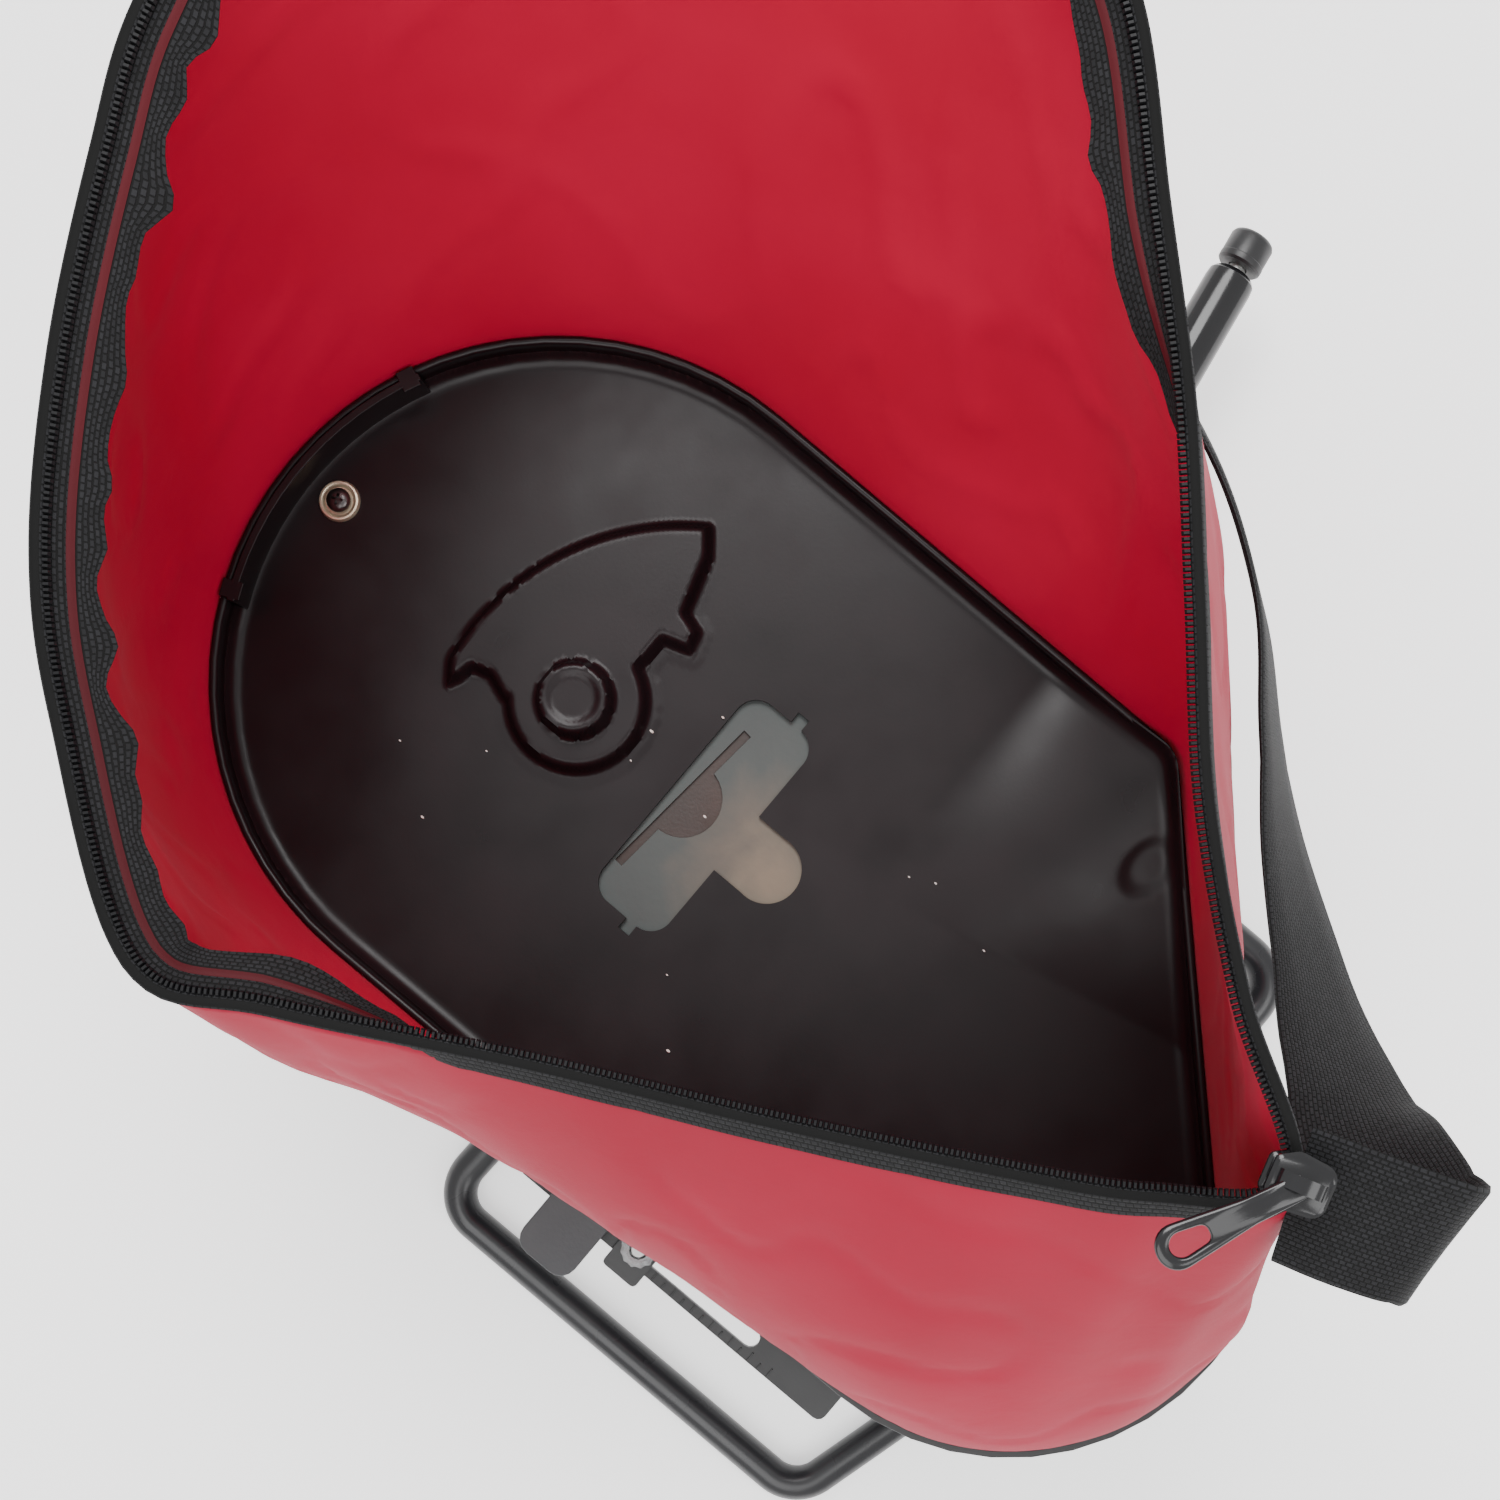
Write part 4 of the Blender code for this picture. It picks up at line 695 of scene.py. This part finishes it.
def bag_point(index, t, outward):
    """A place on the bag: t runs from the rim's top, 0, to the mouth, 1."""
    index %= BAG_AROUND
    rim, high, way = RIM[index], MOUTH_LINE[index], RIM_WAYS[index]
    spread = t ** 1.25
    slack = 1.0 - 0.9 * math.exp(-(max(0.0, rim.y + 290) / 75.0) ** 2)
    bulge = BAG_SWELL * slack * math.sin(math.pi * t) * (1 - 0.4 * t) + wrinkle(index, t)
    x = rim.x + (high.x - rim.x) * spread + way.x * (bulge + GAP)
    y = rim.y + (high.y - rim.y) * spread + way.y * (bulge + GAP)
    side = way.lerp(MOUTH_WAYS[index], t).normalized()
    return Vector((x + side.x * outward, y + side.y * outward, RIM_TOP + (high.z - RIM_TOP) * t))


def build_bag():
    """The bag's wall as one closed shell; its outer faces take a darker copy of the cloth as painted shade.
    """
    top = 0.985
    heights = [top * step / BAG_RINGS for step in range(BAG_RINGS + 1)]
    rings = []
    for outward, order in ((FABRIC, heights), (0.0, heights[::-1])):
        hem = [(rim.x + way.x * (GAP + outward), rim.y + way.y * (GAP + outward), HEM_BOTTOM)
               for rim, way in zip(RIM, RIM_WAYS)]
        wall = [[bag_point(i, t, outward) for i in range(BAG_AROUND)] for t in order]
        rings += [hem] + wall if outward else wall + [hem]
    uvs = [(i * 4.0, point[2]) for ring in rings for i, point in enumerate(ring)]
    bag = lofted("bag_cloth", rings, CLOTH, closed=True, stands_for=("bag_shell",), uvs=uvs, crease=80)
    # The outer faces get the painted shade cloth.
    bag.data.materials.append(CLOTH_PAINTED_SHADE)
    outer_faces = BAG_AROUND * (BAG_RINGS + 1)
    for face in bag.data.polygons:
        face.material_index = 1 if face.index < outer_faces else 0


FLANGE_FIRST = round(BAG_AROUND * 0.17)
FLANGE_LAST = round(BAG_AROUND * 0.80)


def wall_down(index, distance):
    """A place that far down the tape from the mouth's edge; the tape turns inwards where it lies open."""
    index %= BAG_AROUND
    edge, lower = bag_point(index, 1.0, 0.0), bag_point(index, 0.9, 0.0)
    way = MOUTH_WAYS[index]
    open_way = Vector((-way.x * 0.84, -way.y * 0.84, -0.54))
    near_end = min(index - FLANGE_FIRST, FLANGE_LAST - index)
    lie = min(1.0, max(0.0, near_end / 14))
    return edge + (lower - edge).normalized().lerp(open_way, lie).normalized() * distance


def strip_along(name, first, last, top, bottom, inward, thick, look, stands_for=(), wave=0.0, crease=50):
    """A closed strip on the inner face of the wall, from first to last of the mouth's places."""
    rings, uvs = [], []
    travelled = 0.0
    for index in range(first, last + 1):
        way = MOUTH_WAYS[index % BAG_AROUND]
        side = Vector((way.x, way.y, 0))
        ripple = wave * noise.noise(Vector((index * 0.27, 2.0, 5.0)))
        fold = wave * 0.4 * math.sin(index * 0.62 + 2.0 * math.sin(index * 0.13))
        upper = wall_down(index, top)
        lower = wall_down(index, bottom + 2.0 * ripple + fold)
        middle = upper.lerp(lower, 0.5)
        curl = -side * (abs(ripple) * 0.8)
        inner = -side * inward
        rings.append([upper + inner, middle + inner + curl * 0.4, lower + inner + curl,
                      lower + inner + curl - side * thick, middle + inner + curl * 0.4 - side * thick,
                      upper + inner - side * thick])
        travelled += (MOUTH_LINE[index % BAG_AROUND] - MOUTH_LINE[(index - 1) % BAG_AROUND]).length
        uvs += [(travelled, z) for z in (top, (top + bottom) / 2, bottom, bottom, (top + bottom) / 2, top)]
    return lofted(name, rings, look, stands_for=stands_for, uvs=uvs, crease=crease)


def build_zip():
    """Both tapes, the seam and flange of the opened mouth, and the coil's teeth."""
    half = BAG_AROUND // 2
    folded = Vector((0, 0, -0.8))
    for name, first, last in (("right", 1, half - 1), ("left", half, BAG_AROUND - 1)):
        rings, uvs = [], []
        travelled = 0.0
        for index in range(first, last + 1):
            way = MOUTH_WAYS[index % BAG_AROUND]
            side = Vector((way.x, way.y, 0))
            edge = wall_down(index, 0.0)
            low = wall_down(index, 6.2)
            rings.append([low + side * 0.1, low + side * 2.9, edge + side * 2.9 + folded, edge + side * 2.2,
                          edge + side * 0.2, edge - side * 0.6 + folded, low - side * 0.6])
            travelled += (MOUTH_LINE[index % BAG_AROUND] - MOUTH_LINE[(index - 1) % BAG_AROUND]).length
            uvs += [(travelled, z) for z in (6, 5, 1, 0, 0, 1, 6)]
        lofted(f"zip_tape_cloth_{name}", rings, TAPE_CLOTH, stands_for=(f"zip_tape_{name}",), uvs=uvs,
               crease=60)

    strip_along("seam_stripe", FLANGE_FIRST, FLANGE_LAST, 5.6, 7.2, 0.6, 0.6, SEAM_RED)
    strip_along("inner_flange", FLANGE_FIRST, FLANGE_LAST, 7.6, 13.6, 0.3, 0.9, TAPE_CLOTH, wave=2.3)

    points, faces = [], []
    line = along(curve(MOUTH, True), [step / COIL_TEETH for step in range(COIL_TEETH)])
    line_ways = normals([(p.x, p.y) for p in line])
    for index in range(5, COIL_TEETH - 5):
        here, way = line[index], line_ways[index]
        forward = Vector((-way.y, way.x, 0))
        side = Vector((way.x, way.y, 0))
        centre = here - side * 1.2 + Vector((0, 0, -0.6))
        start = len(points)
        for z, size in ((-1.1, 0.75), (0.0, 1.0), (0.9, 0.6)):
            for corner in ((-1, -1), (1, -1), (1, 1), (-1, 1)):
                points.append(centre + forward * corner[0] * 0.55 * size + side * corner[1] * 1.15 * size
                              + Vector((0, 0, z)))
        for base in (start, start + 4):
            faces += [(base + i, base + (i + 1) % 4, base + 4 + (i + 1) % 4, base + 4 + i) for i in range(4)]
        faces += [(start, start + 1, start + 2, start + 3), (start + 8, start + 9, start + 10, start + 11)]
    make("zip_coil", points, faces, COIL_BLACK, crease=30)


def build_slider():
    """The slider's two plates, core and bridge, with the puller on it."""
    low, high = node_box("zip_slider")
    centre = middle_of(low, high) + Vector((0, 0, low.z))
    heading = math.radians(-73)
    turn = Matrix.Rotation(heading, 3, "Z")

    def plate(name, outline, bottom, top, pinch=0.9):
        rings = []
        for z, size in ((bottom, pinch), (bottom + 0.6, 1.0), (top - 0.6, 1.0), (top, pinch)):
            rings.append([centre + turn @ Vector((x * size, y * size, z)) for x, y in outline])
        return lofted(name, rings, SHINY_BLACK, crease=35)

    body = rounded([(-8, -4.5, 2), (-3, -7.5, 3), (8, -6.5, 4), (8, 6.5, 4), (-3, 7.5, 3), (-8, 4.5, 2)], 15)
    top = plate("slider_top", body, 3.2, 6.0)
    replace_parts(top, "zip_slider")
    plate("slider_bottom", body, -4.2, -1.6)
    core = rounded([(1, -2, 1.5), (6, -2, 1.5), (6, 2, 1.5), (1, 2, 1.5)], 20)
    plate("slider_core", core, -2.2, 3.8, 1.0)
    rings = []
    for step in range(13):
        angle = math.pi * step / 12
        middle = Vector((-5.5 * math.cos(angle), 0, 5.6 + 3.4 * math.sin(angle)))
        outwards = Vector((-math.cos(angle), 0, math.sin(angle)))
        rings.append([centre + turn @ (middle + outwards * a + Vector((0, b, 0)))
                      for a, b in ((-0.8, -2), (0.8, -2), (0.8, 2), (-0.8, 2))])
    lofted("slider_bridge", rings, SHINY_BLACK)

    lay = Matrix.Rotation(math.radians(156), 3, "Z")
    root = Vector((centre.x, centre.y, node_box("zip_puller")[0].z))
    outline = rounded([(-1, -3.2, 1.5), (14, -3.4, 3), (39, -6.4, 5.5), (39, 6.4, 5.5), (14, 3.4, 3),
                       (-1, 3.2, 1.5)], 12)
    hole = rounded([(25, -2.2, 2.0), (35.5, -3.6, 3.2), (35.5, 3.6, 3.2), (25, 2.2, 2.0)], 12)
    puller = bar_with_hole("puller_bar", outline, hole, root, lay, 2.0)
    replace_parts(puller, "zip_puller")


def bar_with_hole(name, outline, hole, root, lay, thick):
    """A flat bar with one hole, its edges rounded over."""
    shares = [step / 72 for step in range(72)]
    outer = [Vector(point) for point in outline]
    inner = [Vector(point) for point in hole]
    outer = along(outer + [outer[0]], shares)
    inner = along(inner + [inner[0]], shares)
    rings = []
    for shape, out, z in ((outer, -0.5, 0.0), (outer, 0.0, 0.5), (outer, 0.0, thick - 0.5),
                          (outer, -0.5, thick), (inner, 0.5, thick), (inner, 0.0, thick - 0.5),
                          (inner, 0.0, 0.5), (inner, 0.5, 0.0)):
        ways = normals([(point.x, point.y) for point in shape])
        rings.append([root + lay @ Vector((point.x + way.x * out, point.y + way.y * out, z))
                      for point, way in zip(shape, ways)])
    return lofted(name, rings, SHINY_BLACK, closed=True, body="puller", crease=50)


def build_strap():
    """Flat webbing along its route, slightly cupped across its width."""
    steps = 150
    half = STRAP_WIDTH / 2
    lower = [(-1, 0.0), (-0.93, -0.85), (-0.5, -1.0), (0, -1.0), (0.5, -1.0), (0.93, -0.85), (1, 0.0)]
    upper = [(0.93, 0.85), (0.5, 1.0), (0, 1.0), (-0.5, 1.0), (-0.93, 0.85)]
    shares = [step / steps for step in range(steps + 1)]
    route = along(curve(STRAP_ROUTE, False), shares)
    leans = [between(STRAP_LEANS, share) for share in shares]
    rings, uvs = [], []
    travelled = 0.0
    for index, here in enumerate(route):
        ahead = (route[min(steps, index + 1)] - route[max(0, index - 1)]).normalized()
        across = (leans[index] - ahead * leans[index].dot(ahead)).normalized()
        up = ahead.cross(across)
        ring = []
        cup = 0.9 * noise.noise(Vector((index * 0.05, 1.0, 0.0)))
        for wide, high in lower + upper:
            lift = high * STRAP_THICK / 2 + cup * (1 - wide * wide)
            ring.append(here + across * wide * half + up * lift)
            uvs.append((travelled, (wide + 1) * half))
        rings.append(ring)
        if index < steps:
            travelled += (route[index + 1] - here).length
    lofted("strap_webbing", rings, STRAP_CLOTH, stands_for=("shoulder_strap",), uvs=uvs, crease=60)


# ---------------------------------------------------------------- frame, gauge and drive

def build_tube():
    """The frame: one bent tube, with the grip at the left."""
    low, high = node_box("base_frame")
    radius = (high.z - low.z) / 2
    half = high.x - radius
    front, rear, grip = high.y - radius, low.y + radius, low.x + radius
    path = rounded([(half, rear, 15), (half, front, half), (-half, front, half), (-half, -66, 15),
                    (grip, -63, 15), (grip, -235, 15), (grip + 56, rear, 30)], 5)
    ways = normals(path)
    rings = []
    for (x, y), way in zip(path, ways):
        rings.append([(x + way.x * radius * math.cos(a), y + way.y * radius * math.cos(a),
                       radius + radius * math.sin(a)) for a in (math.pi * k / 12 for k in range(24))])
    lofted("frame_tube", rings, TUBE_BLACK, closed=True, stands_for=("base_frame",), crease=80)


def raised_boxes(name, boxes, look, body="spreader"):
    points, faces = [], []
    for x0, x1, y0, y1, z0, z1 in boxes:
        start = len(points)
        for z, inset in ((z0, 0.0), (z1, 0.12)):
            points += [(x0 + inset, y0 + inset, z), (x1 - inset, y0 + inset, z), (x1 - inset, y1 - inset, z),
                       (x0 + inset, y1 - inset, z)]
        faces += [(start + i, start + (i + 1) % 4, start + 4 + (i + 1) % 4, start + 4 + i) for i in range(4)]
        faces += [(start, start + 1, start + 2, start + 3), (start + 4, start + 5, start + 6, start + 7)]
    return make(name, points, faces, look, body)


def build_gauge():
    """The gauge with its raised ticks and the plain numbers 1 to 9."""
    softened("rate_gauge", BLACK_PLASTIC, 0.5)
    low = node_box("rate_gauge")[0]
    top = low.z + 3.0
    first_tick, tick_step = -124, 4.2
    ticks = []
    for step in range(17):
        y = first_tick - step * tick_step
        length = 3.4 if step % 2 == 0 else 2.2
        ticks.append((-132.6, -132.6 + length, y - 0.35, y + 0.35, top - 0.05, top + 0.5))
    ticks.append((-119.5, -118.9, low.y + 8, -100, top - 0.05, top + 0.45))
    raised_boxes("gauge_ticks", ticks, BLACK_PLASTIC)
    for step in range(9):
        letter = bpy.data.curves.new(f"gauge_number_{step}", "FONT")
        letter.body = str(step + 1)
        letter.size = 5.0 * MM
        letter.extrude = 0.25 * MM
        letter.align_x = "CENTER"
        letter.align_y = "CENTER"
        letter.materials.append(BLACK_PLASTIC)
        obj = bpy.data.objects.new(f"gauge_number_{step}", letter)
        bpy.context.scene.collection.objects.link(obj)
        obj.location = place(-116, first_tick - step * 2 * tick_step, top + 0.2)
        obj.rotation_euler = (0, 0, math.radians(-90))
        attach(obj, "spreader")


def build_slide_shade_sheet():
    """Dark brown sheet on the grey slide, seen through the port plate's slot: painted shade deep under the
    plate.
    """
    top = node_box("shutoff_slide")[1].z
    face = rounded([(-40, -66, 3), (36, -66, 3), (36, -40, 3), (-40, -40, 3)], 20)
    rings = [[(x, y, z) for x, y in face] for z in (top + 0.03, top + 0.12)]
    lofted("slide_shade_sheet", rings, SLIDE_PAINTED_SHADE, body="shutoff")


def build_thumb_nut():
    """A clear fluted nut with a bore for its bolt."""
    low, high = node_box("thumb_nut")
    centre = middle_of(low, high)
    facets, radius = 12, (high.x - low.x) / 2
    rings = []
    levels = [(low.z, 0.9), (low.z + 0.8, 1.0), (high.z - 1.6, 1.0), (high.z - 0.5, 0.78), (high.z, 0.7)]
    for z, size in levels:
        ring = []
        for step in range(facets * 2):
            angle = math.pi * step / facets
            reach = radius * size * (1.0 if step % 2 else 0.91)
            ring.append((centre.x + reach * math.cos(angle), centre.y + reach * math.sin(angle), z))
        rings.append(ring)
    bore = 3.2
    for z in (high.z, low.z):
        rings.append([(centre.x + bore * math.cos(math.pi * step / facets),
                       centre.y + bore * math.sin(math.pi * step / facets), z)
                      for step in range(facets * 2)])
    lofted("thumb_nut_clear", rings, CLEAR, closed=True, body="nut", stands_for=("thumb_nut",),
           crease=15)


def build_left_post():
    """The left post ends just under the floor, so nothing of it shows above."""
    low, high = node_box("left_post")
    centre = middle_of(low, high)
    top = FLOOR_TOP - 2.6
    turned("left_post_look", [(5.4, low.z), (6.0, low.z + 0.6), (6.0, top - 6), (7.2, top - 4), (7.2, top)],
           BLACK_PLASTIC, 40, centre, stands_for=("left_post",), crease=30)


def build_front_screw():
    """The domed screw with its cross recess, and the brass cup washer under it."""
    low, high = node_box("front_screw")
    centre = middle_of(low, high)
    seat = high.z - 2.2
    profile = [(2.0, low.z), (2.0, seat), (4.0, seat), (4.0, seat + 0.6), (3.7, seat + 1.2),
               (3.0, seat + 1.8), (1.8, seat + 2.15), (0.6, seat + 2.2)]
    head = turned("front_screw_head", profile, SCREW_DARK, 40, centre)
    for index in range(2):
        turn = Matrix.Rotation(math.radians(25 + 90 * index), 3, "Z")
        corners = [(-2.3, -0.45), (2.3, -0.45), (2.3, 0.45), (-2.3, 0.45)]
        rings = [[centre + turn @ Vector((x * size, y, z)) for x, y in corners]
                 for z, size in ((seat + 0.5 - index * 0.03, 0.5), (seat + 3.0 + index * 0.05, 1.0))]
        cutter = lofted(f"cross_trim_{index}", rings, SCREW_DARK)
        cut(head, "DIFFERENCE", cutter)
        bake(head)
        bpy.data.objects.remove(cutter)
    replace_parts(head, "front_screw")
    washer_low, washer_high = node_box("cup_washer")
    foot, crown = washer_low.z, washer_high.z
    section = [(2.7, foot), (6.8, foot), (6.8, foot + 0.5), (6.3, crown), (5.7, crown + 0.1),
               (5.2, crown - 0.2), (4.6, foot + 0.6), (2.7, foot + 0.5)]
    turned("washer_ring", section, BRASS, 48, centre, closed=True, stands_for=("cup_washer",), crease=25)


def build_knob():
    """The grip and its end cap, on the pin at the end of the arm."""
    skew = math.radians(10)
    turn = Matrix.Rotation(skew, 3, "Z") @ Matrix.Rotation(math.radians(90), 3, "Y")
    low, high = node_box("crank_shaft")
    arm = 115
    swing = Vector((arm * math.sin(skew), -arm * math.cos(skew), (low.z + high.z) / 2))
    start, end = 160.5, 252.5
    grip = [(3.6, start), (7.6, start), (8.6, start + 1.2), (9.0, start + 3), (9.0, end - 5),
            (8.7, end - 2.2), (7.6, end - 0.7), (6.4, end), (3.6, end)]
    turned("knob_grip_look", grip, SHINY_BLACK, 56, swing, turn, closed=True, body="knob",
           stands_for=("knob_grip",), crease=30)
    cap = end + 2.5
    profile = [(3.6, cap), (7.4, cap), (8.2, cap + 0.8), (8.3, cap + 1.6), (8.3, cap + 2.8),
               (8.15, cap + 3.05), (8.15, cap + 3.35), (8.2, cap + 10.2), (7.6, cap + 11.4), (6.8, cap + 12),
               (1.2, cap + 12), (1.2, cap + 8.5), (3.6, cap + 8.5)]
    turned("knob_cap_look", profile, BLACK_PLASTIC, 56, swing, turn, closed=True, body="crank",
           stands_for=("knob_cap",), crease=30)


# ---------------------------------------------------------------- the rest of the CAD nodes

LOOKS = {
    "front_clip_band": (PAN_PLASTIC, 0.4), "hem_band": (BLACK_PLASTIC, 0.5), "port_plate": (PORT, 0.12),
    "shutoff_slide": (LEVER_GREY, 0.5), "slide_guide_left": (BLACK_PLASTIC, 0.3),
    "slide_guide_right": (BLACK_PLASTIC, 0.3), "front_post": (BLACK_PLASTIC, 0.4),
    "right_post": (PAN_PLASTIC, 0.4), "gearbox_lower": (BLACK_PLASTIC, 0.6),
    "gearbox_upper": (BLACK_PLASTIC, 0.6), "gearbox_bracket": (ZINC, 0.4), "impeller": (BLACK_PLASTIC, 0.4),
    "crank_arm": (SHINY_BLACK, 1.2), "stop_block": (BLACK_PLASTIC, 0.4), "zip_end_stop": (SHINY_BLACK, 0.5),
    "rear_guard": (GUARD_PALE, 0.3), "knob_pin": (ZINC, 0.3), "crank_shaft": (ZINC, 0.4),
    "stop_bolt": (ZINC, 0.3),
}
PLAIN_LOOKS = {
    "pan_bush": BRASS, "crank_bush_inner": BRASS, "crank_bush_outer": BRASS, "impeller_bush": BRASS,
    "impeller_pinion": NYLON, "crank_gear": NYLON,
}


def paint_nodes():
    """Soften and colour every CAD node that no piece stands for."""
    replaced = {name for obj in bpy.data.objects for name in obj.get("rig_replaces", [])}
    for node, obj in frame["nodes"].items():
        if node in replaced:
            continue
        if node in LOOKS:
            softened(node, *LOOKS[node], segments=2)
            continue
        obj.data.materials.clear()
        obj.data.materials.append(PLAIN_LOOKS.get(node, ZINC))


# ---------------------------------------------------------------- studio

def build_studio():
    """Pale floor, even sky, three soft lights and the camera above the mouth."""
    floor_look = new_material("floor_look", (0.95, 0.95, 0.95), 0.8, Emission_Color=(1, 1, 1, 1),
                              Emission_Strength=0.8)
    bpy.ops.mesh.primitive_plane_add(size=8, location=(0, 0, 0))
    floor = bpy.context.object
    floor.name = "studio_floor"
    floor.data.materials.append(floor_look)

    world = bpy.data.worlds.new("studio")
    world.use_nodes = True
    world.node_tree.nodes["Background"].inputs["Color"].default_value = (1, 1, 1, 1)
    world.node_tree.nodes["Background"].inputs["Strength"].default_value = 1.0
    bpy.context.scene.world = world

    def area(name, energy, size, spot, aim):
        light = bpy.data.lights.new(name, "AREA")
        light.energy = energy
        light.size = size
        obj = bpy.data.objects.new(name, light)
        bpy.context.scene.collection.objects.link(obj)
        obj.location = place(*spot)
        obj.rotation_euler = (place(*aim) - obj.location).to_track_quat("-Z", "Y").to_euler()

    area("key_light", 26, 0.9, (700, 500, 1500), (0, -100, 150))
    area("fill_light", 14, 1.2, (-900, -300, 1500), (0, -100, 150))
    area("rear_light", 8, 0.8, (200, -1200, 1200), (0, -150, 150))

    lens = bpy.data.cameras.new("camera")
    lens.lens = 51.24
    lens.sensor_width = 36
    lens.shift_x = -0.0767
    lens.shift_y = 0.136
    camera = bpy.data.objects.new("camera", lens)
    bpy.context.scene.collection.objects.link(camera)
    camera.location = place(-2.6, -125.2, 806)
    camera.rotation_euler = (0, 0, math.radians(-49.9))
    bpy.context.scene.camera = camera


build_pan()
build_specks()
build_bag()
build_zip()
build_slider()
build_strap()
build_tube()
build_gauge()
build_slide_shade_sheet()
build_left_post()
build_thumb_nut()
build_front_screw()
build_knob()
paint_nodes()
build_studio()
